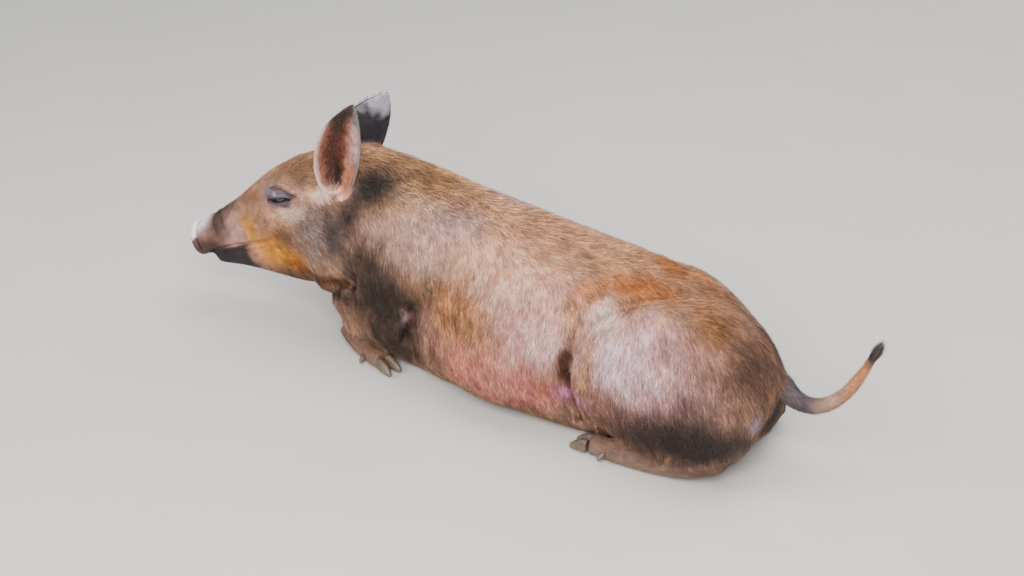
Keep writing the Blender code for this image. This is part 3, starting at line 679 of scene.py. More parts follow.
class Skin:
    """The one skin over all the pig's flesh: grown, smoothed, folded, and known point by point."""

    def __init__(self, ears: list[Ear], grain: float = .002) -> None:
        """Takes the ears and the width of the skin's quads.

        Args:
            ears: both ears.
            grain: how wide the skin's quads are.
        """
        self.ears = ears
        self.grain = grain
        self.swell = .0005
        self.piece: Piece = None
        self.points = self.faces = self.normals = self.region = self.ear_reach = self.hollow = None

    def build(self) -> Piece:
        """Grows the skin and shapes it.

        Returns:
            The skin as one object.
        """
        shells = [node_shell(node, self.swell) for node in FLESH]
        shells += [ear.shell() for ear in self.ears]
        for side in Side:
            shells.append(ball_shell(np.array(middle_of(f"eye_{side.word}")), Eye(side).radius + .001))
        shells.append(Tuft().core())
        self.piece = melted("skin", shells, self.grain)
        self.points, self.faces = points_of(self.piece), faces_of(self.piece, 4)
        self.find_regions()
        self.relax()
        self.hollow = np.zeros(len(self.points))
        for fold in FOLDS:
            self.press(fold)
        self.relax_by(np.full(len(self.points), 2))
        self.points -= normals_for(self.points, self.faces) * ground("depth", self.region)[:, None]
        for side in Side:
            self.open_eye(side)
        self.points[:, 2] = np.maximum(self.points[:, 2], FLOOR_GAP)
        self.normals = normals_for(self.points, self.faces)
        set_points(self.piece, self.points)
        return self.piece

    def find_regions(self) -> None:
        """Says of each point what part of the skin it belongs to."""
        head, body = in_head(self.points), in_body(self.points)
        region = np.where(head[:, 0] > -.02, Region.HEAD, Region.TRUNK)
        region[(head[:, 0] <= .03) & (body[:, 2] < .1)] = Region.TRUNK
        normals = normals_for(self.points, self.faces)
        self.ear_reach = np.zeros((len(self.points), 2))
        for ear in self.ears:
            self.label_ear(ear, normals, region)
        region[Limb.tail().near(self.points, .004) & (body[:, 0] > .418)] = Region.TAIL
        for limb in Limb.feet():
            region[limb.near(self.points, .003)] = Region.FOOT
        self.region = region

    def label_ear(self, ear: Ear, normals: Array, region: Array) -> None:
        """Marks the points of one ear, its back and its cup apart.

        Args:
            ear: the ear.
            normals: which way the skin faces at each point.
            region: what each point belongs to, which is changed.
        """
        sheet = ear.sheet()
        flat = sheet.reshape(-1, 3)
        tree = BVHTree.FromPolygons([Vector(p) for p in flat],
                                    grid_faces(ear.rows, ear.columns, False).tolist())
        face = turned(ear.directions()[3], HEAD)
        low, high = flat.min(0) - .01, flat.max(0) + .01
        for i in np.flatnonzero(((self.points > low) & (self.points < high)).all(1)):
            index, away = tree.find_nearest(self.points[i])[2:]
            row, column = divmod(index, ear.columns - 1)
            if away < ear.thickness and row > 3:
                cup = normals[i].dot(face) > 0
                region[i] = Region.EAR_CUP if cup else Region.EAR_BACK
                self.ear_reach[i] = row / (ear.rows - 2), 2 * column / (ear.columns - 2) - 1

    def neighbours(self) -> tuple[Array, Array]:
        """The two ends of every edge."""
        pairs = np.concatenate([self.faces[:, [i, (i + 1) % 4]] for i in range(4)])
        pairs = np.unique(np.sort(pairs, 1), axis=0)
        return pairs[:, 0], pairs[:, 1]

    def relax(self) -> None:
        """Smooths out the solids' facets, more on the trunk than where forms are small."""
        head = in_head(self.points)
        count = np.where((self.region == Region.HEAD) & (head[:, 0] < .05), 26,
                         ground("rounds", self.region))
        muzzle = smooth(.05, .02, np.linalg.norm(head - (.325, 0, -.088), axis=1))
        self.relax_by(np.round(count * (1 - .6 * muzzle)))

    def relax_by(self, rounds: Array) -> None:
        """Moves each point towards its neighbours' middle, for its own number of rounds.

        Args:
            rounds: how many rounds each point gets.
        """
        a, b = self.neighbours()
        count = len(self.points)
        ties = np.bincount(a, minlength=count) + np.bincount(b, minlength=count)
        for turn in range(int(rounds.max())):
            share = .5 * np.clip(rounds - turn, 0, 1)
            for k in range(3):
                line = self.points[:, k]
                mean = (np.bincount(a, line[b], count) + np.bincount(b, line[a], count)) / ties
                self.points[:, k] = line + share * (mean - line)

    def press(self, fold: Fold) -> None:
        """Presses one furrow into the skin, on both sides of the pig.

        Args:
            fold: the furrow.
        """
        place = HEAD if fold.place is Place.HEAD else BODY
        for mirror in (1, -1):
            path = np.array(fold.path) * (1, mirror, 1)
            run = np.linspace(0, len(path) - 1, 16 * len(path))
            line = moved(through(np.arange(len(path)), path, run), place)
            reach = 3 * fold.width
            low, high = line.min(0) - reach - .01, line.max(0) + reach + .01
            near = np.flatnonzero(((self.points > low) & (self.points < high)).all(1))
            if not len(near):
                continue
            tree = BVHTree.FromPolygons([Vector(p) for p in self.points[near]], self.local_faces(near))
            laid = np.array([tree.find_nearest(p)[0] for p in line])
            away = np.concatenate([np.sqrt(((self.points[block, None] - laid[None]) ** 2).sum(2).min(1))
                                   for block in np.array_split(near, max(1, len(near) // 8000))])
            normals = normals_for(self.points, self.faces)[near]
            self.points[near] -= normals * (fold.depth * np.exp(-(away / fold.width) ** 2))[:, None]
            # keeps the pressed depth, which darkens the fold as painted shade and shortens its hair
            self.hollow[near] += max(0.0, fold.depth) * np.exp(-(away / (.7 * fold.width)) ** 2)

    def local_faces(self, near: Array) -> list[list[int]]:
        """The faces that lie wholly among some points, numbered among them.

        Args:
            near: the numbers of the points.

        Returns:
            The faces in their numbers.
        """
        number = np.full(len(self.points), -1)
        number[near] = np.arange(len(near))
        local = number[self.faces]
        return local[(local >= 0).all(1)].tolist()

    def open_eye(self, side: Side) -> None:
        """Sinks the skin behind the lids of one eye.

        Args:
            side: the eye's side.
        """
        eye = Eye(side)
        local = eye.local(self.points)
        away = eye.away(local[:, 0], local[:, 2])
        near = (away < 1.3) & (local[:, 1] > -.012) & (local[:, 1] < .05)
        way = np.array(eye.axes().to_3x3() @ Vector((0, 1, 0)))
        self.points[near] -= way * eye.drop(away[near])[:, None]

    def tree(self) -> BVHTree:
        """The skin as a tree for finding places on it."""
        return BVHTree.FromPolygons(self.points.tolist(), self.faces.tolist())


@dataclass(frozen=True)
class Limb:
    """A tail or a foot as beads on a string, in the pig's own axes."""

    beads: tuple[Bead, ...]
    side: Side = Side.LEFT

    @classmethod
    def tail(cls) -> "Limb":
        """The tail up to its tuft.

        Returns:
            The tail.
        """
        return cls((((.375, .01, .165), .026), ((.41, .008, .146), .019),
                    ((.44, .004, .132), .0148), ((.472, .004, .134), .0128),
                    ((.505, .01, .158), .0112), ((.53, .02, .199), .009),
                    ((.542, .026, .228), .0068)))

    @classmethod
    def feet(cls) -> list["Limb"]:
        """The four feet.

        Returns:
            Both forefeet, then both hindfeet.
        """
        fore = (((-.37, -.082, .036), .022), ((-.338, -.096, .0205), .018),
                ((-.298, -.11, .016), .0168), ((-.272, -.116, .0165), .0175))
        hind = (((.36, -.092, .052), .028), ((.315, -.106, .03), .024),
                ((.245, -.12, .018), .019), ((.18, -.126, .0165), .0175),
                ((.152, -.126, .017), .018))
        return [cls(beads, side) for beads in (fore, hind) for side in Side]

    @classmethod
    def every(cls) -> list[tuple[Region, "Limb"]]:
        """The tail and the feet, each with its region."""
        return [(Region.TAIL, cls.tail())] + [(Region.FOOT, foot) for foot in cls.feet()]

    def line(self, steps: int = 60) -> Array:
        """Places and radii along the limb in the frame.

        Args:
            steps: how many places are read.

        Returns:
            A row of place and radius for each step.
        """
        mirror = np.array((1, self.side.value, 1, 1))
        rows = np.array([(*p, r) for p, r in self.beads]) * mirror
        read = strung(rows, steps)
        return np.concatenate([moved(read[:, :3], BODY), read[:, 3:]], 1)

    def near(self, points: Array, slack: float) -> Array:
        """Which points lie on the limb, give or take the slack.

        Args:
            points: their places in the frame.
            slack: how far off the limb still counts.

        Returns:
            Whether each point is near.
        """
        line = self.line()
        reach = line[:, 3].max() + slack
        low, high = line[:, :3].min(0) - reach, line[:, :3].max(0) + reach
        found = ((points > low) & (points < high)).all(1)
        close = np.flatnonzero(found)
        away = np.linalg.norm(points[close, None] - line[None, :, :3], axis=2) - line[None, :, 3]
        found[close] = away.min(1) < slack
        return found

    def nearest(self, points: Array) -> tuple[Array, Array]:
        """The limb's line, and the number of its place nearest to each point."""
        line = self.line()
        return line, np.array([np.argmin(((line[:, :3] - p) ** 2).sum(1)) for p in points], int)

    def unrolled(self, points: Array) -> Array:
        """How far along the limb and how far round it each point is, from 0 to 1."""
        line, nearest = self.nearest(points)
        off = points - line[nearest, :3]
        return np.stack([nearest / len(line), np.arctan2(off[:, 1], off[:, 2]) / (2 * math.pi) + .5], 1)

    def way(self, points: Array) -> Array:
        """Which way the limb runs near each point."""
        line, nearest = self.nearest(points)
        return unit(np.gradient(line[:, :3], axis=0))[nearest]


@dataclass(frozen=True)
class Eye:
    """One eye: the ball with its cornea, and the lids round it."""

    side: Side
    radius: float = .0125
    gaze: Triple = (.22, 1.0, -.04)
    socket: tuple[float, float] = (.0285, .0215)
    sunk: float = .008
    half_length: float = .016
    upper: float = .0038
    lower: float = .004
    slant: float = 9.0
    lid: float = .0015
    sheet: float = .0008
    cap: tuple[float, float] = (.0175, .015)
    gap: float = .0004
    fur_count: int = 1500
    lash_count: int = 60
    # rows round the lids: where they begin and are full, height, middle and width
    RIDGES: ClassVar = ((-.2, .5, .003, .27, .17), (-.2, .5, -.001, .42, .03),
                        (-.2, .5, -.0007, .17, .025), (.2, -.5, .0016, .19, .08),
                        (.2, -.5, -.0015, .33, .04), (.2, -.5, -.001, .5, .05))
    # creases as paths forwards and up from the eye's middle, with width and depth
    CREASES: ClassVar = (
        (((.016, .0205), (.004, .022), (-.008, .018), (-.019, .008), (-.033, .005)),
         .0036, .0026),
        (((.021, -.002), (.013, -.001)), .0016, .0012),
        (((-.014, 0.0), (-.025, .0015)), .0018, .0014))
    # patches of the lids: middle forwards and up, reach, colour and cover
    PATCHES: ClassVar = (
        ((0.0, .003), (.024, .015), (.055, .04, .048), .95),
        ((.018, .015), (.012, .006), (.125, .11, .122), .8),
        ((.03, .002), (.008, .004), (.17, .11, .15), .6),
        ((-.006, .0095), (.011, .004), (.11, .076, .112), .85),
        # a painted highlight on the upper lid's bulge
        ((.007, .0125), (.004, .003), (.27, .25, .28), .65),
        ((-.001, -.0085), (.014, .0042), (.105, .066, .086), .8),
        ((-.01, -.0115), (.007, .0025), (.045, .03, .042), .8))

    def axes(self) -> Matrix:
        """The matrix from the eye's own axes, forwards, outwards and up, to the frame.

        Returns:
            The matrix.
        """
        middle = middle_of(f"eye_{self.side.word}")
        turn = HEAD.to_3x3().to_4x4() @ Matrix.Diagonal((1, self.side.value, 1, 1))
        slant = Matrix.Rotation(math.radians(-self.slant), 4, "Y")
        return Matrix.Translation(middle) @ turn @ slant

    def local(self, points: Array) -> Array:
        """The points in the eye's own axes."""
        return moved(points, self.axes().inverted())

    def away(self, x: Array, z: Array) -> Array:
        """How far places are from the eye's middle, 1 at the socket's edge."""
        return np.hypot(x / self.socket[0], z / self.socket[1])

    def drop(self, away: Array) -> Array:
        """How deep the skin is sunk behind the lids."""
        return self.sunk * smooth(1.15, .75, away)

    def ball(self) -> Piece:
        """The eyeball, painted with its pupil, iris and white.

        Returns:
            The eyeball.
        """
        rings, spokes = 48, 64
        polar, turn = np.linspace(0.0, math.pi, rings), full_turn(spokes)
        bulge = 1 + .055 * smooth(.62, 0.0, polar)
        x = np.cos(polar)[:, None] * np.ones(spokes)[None]
        y, z = np.sin(polar)[:, None] * np.cos(turn)[None], np.sin(polar)[:, None] * np.sin(turn)[None]
        gaze = Vector(self.gaze).normalized()
        aside = Vector((0, 0, 1)).cross(gaze).normalized()
        spin = np.array(Matrix((gaze, aside, gaze.cross(aside))).transposed())
        local = (np.stack([x, y, z], -1) * bulge[:, None, None]).reshape(-1, 3) @ spin.T * self.radius
        piece = new_piece(f"eyeball_{self.side.word}", moved(local, self.axes()),
                          grid_faces(rings, spokes, True))
        angle, turn = np.repeat(polar, spokes), np.tile(turn, rings)
        c, s = np.cos(turn), np.sin(turn)
        fibres = .5 + .5 * CLOUDS.at(np.stack([c * 9, s * 9, angle * 2], 1), 1.0)
        colour = np.tile((.04, .026, .025), (len(angle), 1))
        blend(colour, np.array((.04, .022, .016)) * (.6 + .9 * fibres)[:, None],
              smooth(.8, .72, angle))
        blend(colour, (.012, .008, .007), smooth(.64, .74, angle) * smooth(.86, .76, angle))
        blend(colour, (.004, .004, .006), smooth(.36, .31, np.hypot(c / 1.25, s / .75) * angle))
        paint(piece, "tint", colour)
        weld(piece)
        return piece

    def opening(self, turn: Array) -> tuple[Array, Array]:
        """The lids' margin as places forwards and up, for angles round it."""
        s, c = np.sin(turn), np.cos(turn)
        height = np.where(s > 0, self.upper, self.lower)
        return self.half_length * c, height * np.sign(s) * np.abs(s) ** 1.3

    @staticmethod
    def stroke(x: Array, z: Array, path: tuple[tuple[float, float], ...], width: float) -> Array:
        """How near places are to a crease: 1 on it, falling to 0 beside it.

        Args:
            x: how far forwards the places are.
            z: how far up.
            path: the crease.
            width: how wide it is.

        Returns:
            One value for each place.
        """
        best = np.full(len(x), np.inf)
        for (ax, az), (bx, bz) in zip(path, path[1:]):
            share = ((x - ax) * (bx - ax) + (z - az) * (bz - az)) / ((bx - ax) ** 2 + (bz - az) ** 2)
            share = np.clip(share, 0, 1)
            best = np.minimum(best, np.hypot(x - ax - share * (bx - ax), z - az - share * (bz - az)))
        return np.exp(-(best / width) ** 2)

    def lids(self, tree: BVHTree) -> Piece:
        """The lids as one sheet from the margin to where it goes under the skin.

        Args:
            tree: the skin as a tree.

        Returns:
            The lids as an object.
        """
        spokes, rings = 120, 26
        turn = full_turn(spokes)
        x0, z0 = self.opening(turn)
        x1, z1 = self.socket[0] * 1.22 * np.cos(turn), self.socket[1] * 1.25 * np.sin(turn)
        axes = self.axes()
        back = axes.inverted()
        out = axes.to_3x3() @ Vector((0, 1, 0))
        rows = []
        for ring in np.linspace(0, 1, rings):
            share = max(0.0, (ring - .1) / .9)
            x, z = x0 + (x1 - x0) * share, z0 + (z1 - z0) * share
            ball = (np.sqrt(np.maximum(1 - (x / self.cap[0]) ** 2 - (z / self.cap[1]) ** 2, .02))
                    * (self.radius + self.gap))
            bump = ball + self.lid * smooth(0.0, .1, ring)
            laid = []
            for a, b in zip(x, z):
                spot = tree.ray_cast(axes @ Vector((a, .05, b)), -out)[0]
                laid.append((back @ spot).y if spot else 0.0)
            laid = np.array(laid) + self.drop(self.away(x, z)) + self.gap
            meets = smooth(.04, .34, ring)
            y = bump * (1 - meets) + laid * meets - .0016 * smooth(.9, 1.0, ring)
            for low, high, height, middle, width in self.RIDGES:
                y += height * smooth(low, high, np.sin(turn)) * np.exp(-((ring - middle) / width) ** 2)
            for path, width, depth in self.CREASES:
                y -= depth * self.stroke(x, z, path, width) * smooth(.04, .12, ring)
            crease = np.sin(ring * 46 + 3 * np.cos(turn * 2) + 2 * np.sin(turn * 5))
            y += .0005 * crease * smooth(.12, .25, ring) * smooth(.9, .7, ring)
            if ring == 0:
                y = ball - .0022
            rows.append(np.stack([x, y, z], 1))
        local = np.concatenate(rows)
        faces = grid_faces(rings, spokes, True)
        faces = faces[:, ::-1] if self.side is Side.LEFT else faces
        piece = new_piece(f"lids_{self.side.word}", moved(local, axes), faces)
        thicken(piece, self.sheet)
        self.paint_lids(piece)
        return piece

    def lashes(self, coat: "Coat", lids: Piece) -> Piece:
        """The short hair on the lids and a few lashes on the upper one.

        Args:
            coat: the coat, which makes the slivers.
            lids: the lids.

        Returns:
            The hairs as an object.
        """
        draw = np.random.default_rng(31)
        points = points_of(lids)
        normals = normals_for(points, faces_of(lids, 4))
        axes = self.axes()
        local, facing = self.local(points), turned(normals, axes.inverted())
        away = self.away(local[:, 0], local[:, 2])
        gap = np.hypot(local[:, 0] / self.half_length, np.abs(local[:, 2]) / self.upper)
        fur = np.flatnonzero((facing[:, 1] > .1) & (away > .42) & (away < 1.18) & (gap > 1.6))
        brim = np.flatnonzero((facing[:, 1] > .1) & (gap > 1.1) & (gap < 1.6) & (local[:, 2] > .001))
        weight = smooth(.3, 1.0, away[fur])
        chosen = np.concatenate([draw.choice(fur, self.fur_count, p=weight / weight.sum()),
                                 draw.choice(brim, self.lash_count)])
        lash = np.arange(len(chosen)) >= self.fur_count
        way = turned(np.array((-1.0, 0.0, -.1)) + draw.normal(0, .25, (len(chosen), 3)), axes)
        way = unit(way - normals[chosen] * (way * normals[chosen]).sum(1)[:, None])
        forward = unit(turned(np.array((.15, .9, -.5)) + draw.normal(0, .15, (len(chosen), 3)), axes))
        way = np.where(lash[:, None], forward, way)
        length = np.where(lash, .007, .0025 + .0045 * smooth(.6, 1.1, away[chosen]))
        length = length * draw.uniform(.7, 1.2, len(chosen))
        root = points[chosen] + turned(draw.normal(0, .0004, (len(chosen), 3)) * (1, 0, 1), axes)
        rise = normals[chosen] * (length * np.where(lash, 0.0, .14))[:, None]
        painted = np.empty(len(points) * 4, np.float32)
        lids.data.color_attributes["hide"].data.foreach_get("color", painted)
        colour = painted.reshape(-1, 4)[chosen, :3] * 1.25 * coat.shades(draw, len(root))
        colour[lash] = .012
        hairs = {"root": root, "middle": root + way * (length * .5)[:, None] + rise * .8,
                 "tip": root + way * length[:, None] + rise, "across": unit(np.cross(normals[chosen], way)),
                 "out": normals[chosen], "width": np.where(lash, .00045, .00062),
                 "colour": np.clip(colour, 0, 1), "region": np.full(len(root), Region.HEAD)}
        return coat.slivers(f"lashes_{self.side.word}", hairs, True)

    def paint_lids(self, piece: Piece) -> None:
        """Paints the lids in lilac and indigo, painted shade in creases, and as the skin where they meet it.

        Args:
            piece: the lids.
        """
        points = points_of(piece)
        x, z = self.local(points)[:, [0, 2]].T
        hide, hair = Colours().at(points, np.full(len(points), Region.HEAD),
                                  np.zeros((len(points), 2)))[:2]
        lid = (hide + hair) / 2
        soft = .0016 * CLOUDS.at(points, .005, 2)
        for (ahead, up), reach, colour, cover in self.PATCHES:
            far = np.hypot((x + soft - ahead) / reach[0], (z + soft - up) / reach[1])
            blend(lid, colour, cover * smooth(1.35, .65, far))
        lid *= 1 + .4 * CLOUDS.at(points + 1.0, .004, 3)[:, None]
        # painted shade in the creases
        for path, width, _ in self.CREASES:
            blend(lid, (.028, .02, .03), .9 * self.stroke(x + soft, z + soft, path, width))
        # painted shade, near black, along the margin round the opening
        gap = np.hypot(x / self.half_length, np.abs(np.where(z > 0, z / self.upper, -z / self.lower)))
        blend(lid, (.012, .009, .012), .95 * smooth(1.55, 1.15, gap))
        paint(piece, "hide", lid)


MARKS = placed(Mark, (
    # the back's ridge, brown on the neck and gingery tan behind
    ((-.25, 0.0, .325), (.15, .05, .03), (.165, .092, .062), (.285, .165, .092), .9),
    ((.06, .035, .288), (.24, .045, .03), (.34, .19, .13), (.52, .3, .2), .85),
    ((.242, .03, .265), (.1, .06, .04), (.25, .13, .085), (.4, .21, .13), .85),
    # neck and shoulder
    ((-.265, .072, .295), (.05, .04, .032), (.28, .165, .1), (.45, .27, .15), .85),
    ((-.3, .11, .245), (.045, .04, .035), (.27, .17, .15), (.4, .26, .22), .85),
    ((-.2, .095, .255), (.085, .055, .055), (.37, .245, .22), (.54, .37, .31), .9),
    ((-.14, .065, .288), (.05, .032, .022), (.27, .2, .21), (.38, .28, .28), .8),
    # flank, pinkish, a little orange above
    ((-.04, .092, .262), (.11, .05, .042), (.47, .28, .22), (.7, .43, .32), .85),
    ((.03, .125, .215), (.1, .055, .05), (.5, .29, .26), (.75, .46, .4), .9),
    ((.035, .145, .16), (.085, .05, .045), (.55, .3, .29), (.82, .47, .44), .9),
    # belly, ginger in front, salmon below, with a red edge
    ((-.14, .14, .176), (.056, .045, .042), (.26, .125, .06), (.41, .205, .1), .88),
    ((-.08, .147, .16), (.064, .045, .042), (.38, .19, .11), (.58, .3, .18), .88),
    ((-.165, .136, .135), (.024, .04, .04), (.42, .24, .21), (.56, .33, .27), .8),
    ((-.06, .16, .095), (.08, .05, .036), (.46, .2, .17), (.62, .27, .22), .9),
    ((.03, .158, .08), (.075, .05, .034), (.49, .21, .19), (.68, .29, .25), .88),
    ((.08, .143, .09), (.028, .03, .014), (.5, .19, .12), (.62, .24, .15), .85),
    # the ginger line over the thigh
    ((.11, .118, .212), (.02, .032, .038), (.33, .17, .1), (.5, .26, .15), .85),
    ((.122, .088, .25), (.026, .032, .024), (.33, .15, .075), (.5, .22, .105), .9),
    ((.18, .045, .271), (.055, .026, .014), (.33, .13, .06), (.5, .2, .085), .9),
    # the thigh, pale lilac in front, pink on top, brown behind, with painted shade below near the floor
    ((.225, .145, .19), (.1, .055, .07), (.56, .36, .39), (.82, .54, .57), .96),
    ((.15, .11, .232), (.035, .04, .026), (.42, .31, .29), (.6, .46, .42), .85),
    ((.315, .12, .232), (.05, .045, .035), (.35, .2, .18), (.5, .29, .25), .85),
    ((.325, .08, .262), (.04, .042, .022), (.17, .08, .04), (.29, .14, .065), .85),
    ((.388, .06, .205), (.055, .065, .06), (.125, .066, .052), (.2, .105, .078), .9),
    ((.33, .15, .16), (.06, .05, .03), (.26, .15, .14), (.36, .21, .19), .75),
    ((.29, .15, .085), (.13, .08, .05), (.05, .027, .024), (.086, .048, .041), .94),
    ((.36, .13, .095), (.07, .07, .045), (.05, .028, .025), (.085, .05, .045), .88),
    ((.168, .138, .1), (.05, .04, .026), (.27, .145, .125), (.38, .21, .18), .8),
    ((.134, .135, .158), (.014, .03, .05), (.34, .19, .12), (.5, .29, .17), .8),
    # painted shade in the fold before the thigh, with bare lilac skin below it
    ((.106, .13, .132), (.008, .03, .04), (.09, .03, .013), (.14, .047, .02), .9),
    ((.113, .134, .088), (.03, .034, .017), (.5, .23, .36), (.5, .25, .37), .97, .85),
    ((.418, .085, .13), (.017, .016, .015), (.42, .36, .46), (.4, .34, .42), .9, .7),
    # painted shadow in the cleft under the tail
    ((.405, 0.0, .105), (.03, .036, .045), (.02, .012, .01), (.03, .018, .015), .95),
    # elbow and brisket, darkened with painted shade down to the floor, with a bare pink armpit
    ((-.35, .07, .13), (.1, .11, .08), (.095, .06, .05), (.165, .105, .085), .92),
    ((-.255, .134, .16), (.08, .055, .052), (.045, .026, .02), (.078, .046, .035), .95),
    ((-.3, .124, .2), (.055, .04, .036), (.08, .054, .046), (.135, .09, .073), .85),
    ((-.27, .125, .08), (.085, .07, .07), (.06, .036, .028), (.105, .064, .048), .9),
    ((-.206, .137, .124), (.014, .032, .01), (.4, .27, .31), (.4, .27, .31), .85, .9),
), (
    # behind and below the ear, near black: painted shade under the ear
    ((-.035, .075, -.04), (.036, .042, .036), (.028, .018, .017), (.05, .033, .03), .95),
    ((.01, .09, -.074), (.024, .032, .03), (.05, .035, .033), (.085, .06, .055), .88),
    # forehead and bridge, brown
    ((.095, .01, .002), (.08, .05, .026), (.165, .095, .062), (.295, .17, .1), .9),
    ((.2, .008, -.026), (.06, .036, .02), (.18, .095, .058), (.305, .17, .095), .88),
    ((.205, .036, -.056), (.034, .028, .02), (.3, .175, .115), (.47, .285, .17), .85),
    # cheek, pale below the eye and grey towards the neck
    ((.165, .058, -.07), (.032, .03, .016), (.35, .2, .14), (.52, .31, .21), .85),
    ((.085, .088, -.098), (.046, .042, .05), (.165, .125, .12), (.29, .22, .2), .9),
    ((.048, .1, -.098), (.02, .034, .052), (.085, .062, .062), (.15, .115, .11), .85),
    ((.155, .06, -.098), (.028, .026, .016), (.13, .075, .048), (.21, .12, .075), .82),
    ((.128, .066, -.058), (.034, .024, .011), (.4, .31, .26), (.57, .45, .37), .75),
    # ginger jaw, redder towards the throat, with painted shade in the fold below it and under the jaw
    ((.229, .041, -.087), (.016, .026, .026), (.42, .2, .07), (.62, .31, .105), .95),
    ((.196, .045, -.124), (.044, .034, .03), (.4, .19, .07), (.58, .29, .11), .95),
    ((.162, .052, -.142), (.032, .034, .024), (.4, .18, .065), (.58, .27, .1), .95),
    ((.156, .053, -.16), (.02, .024, .014), (.32, .12, .06), (.46, .17, .085), .88),
    ((.105, .08, -.18), (.05, .045, .016), (.085, .038, .022), (.16, .07, .038), .85),
    ((.09, .07, -.21), (.08, .06, .014), (.02, .01, .008), (.03, .016, .012), .92),
    ((.18, .01, -.18), (.11, .048, .028), (.11, .06, .04), (.19, .105, .065), .88),
    # muzzle, lilac pink at its side, dark behind a pale nose
    ((.258, .038, -.082), (.018, .024, .02), (.36, .23, .215), (.46, .31, .28), .88),
    ((.262, .002, -.044), (.03, .024, .013), (.12, .07, .05), (.19, .11, .075), .85),
    ((.286, .02, -.06), (.017, .038, .03), (.07, .042, .034), (.1, .06, .046), .94),
    ((.318, .004, -.054), (.014, .044, .018), (.5, .44, .47), (.5, .44, .47), .94, .9),
    # dark under the disc: the lip's colour deepened by painted shade
    ((.316, .03, -.104), (.024, .044, .029), (.085, .044, .04), (.11, .06, .05), .95),
    # pink below the ear, pale grey before the brow
    ((.055, .07, -.036), (.024, .022, .01), (.62, .42, .36), (.74, .52, .44), .92),
    ((.158, .05, -.013), (.013, .018, .009), (.22, .185, .2), (.3, .26, .27), .7),
    ((.14, .06, -.03), (.026, .024, .016), (.12, .085, .095), (.18, .13, .14), .6),
))

# patches of the ear's cup: colour and cover, then where each begins and is full, from front to
# rear and from foot to tip
CUPS = (
    # the first patch is pale pink skin, partly painted light where the rear of the cup faces the light
    ((.4, .26, .25), 1.0, (.25, .65), (.3, .5)),
    ((.36, .14, .08), 1.0, (0.0, .3), (.52, .36)),
    ((.1, .026, .013), .9, (.25, -.05), (.14, .22)),
    ((.22, .075, .05), .9, (-.6, -.8), (.14, .22)))


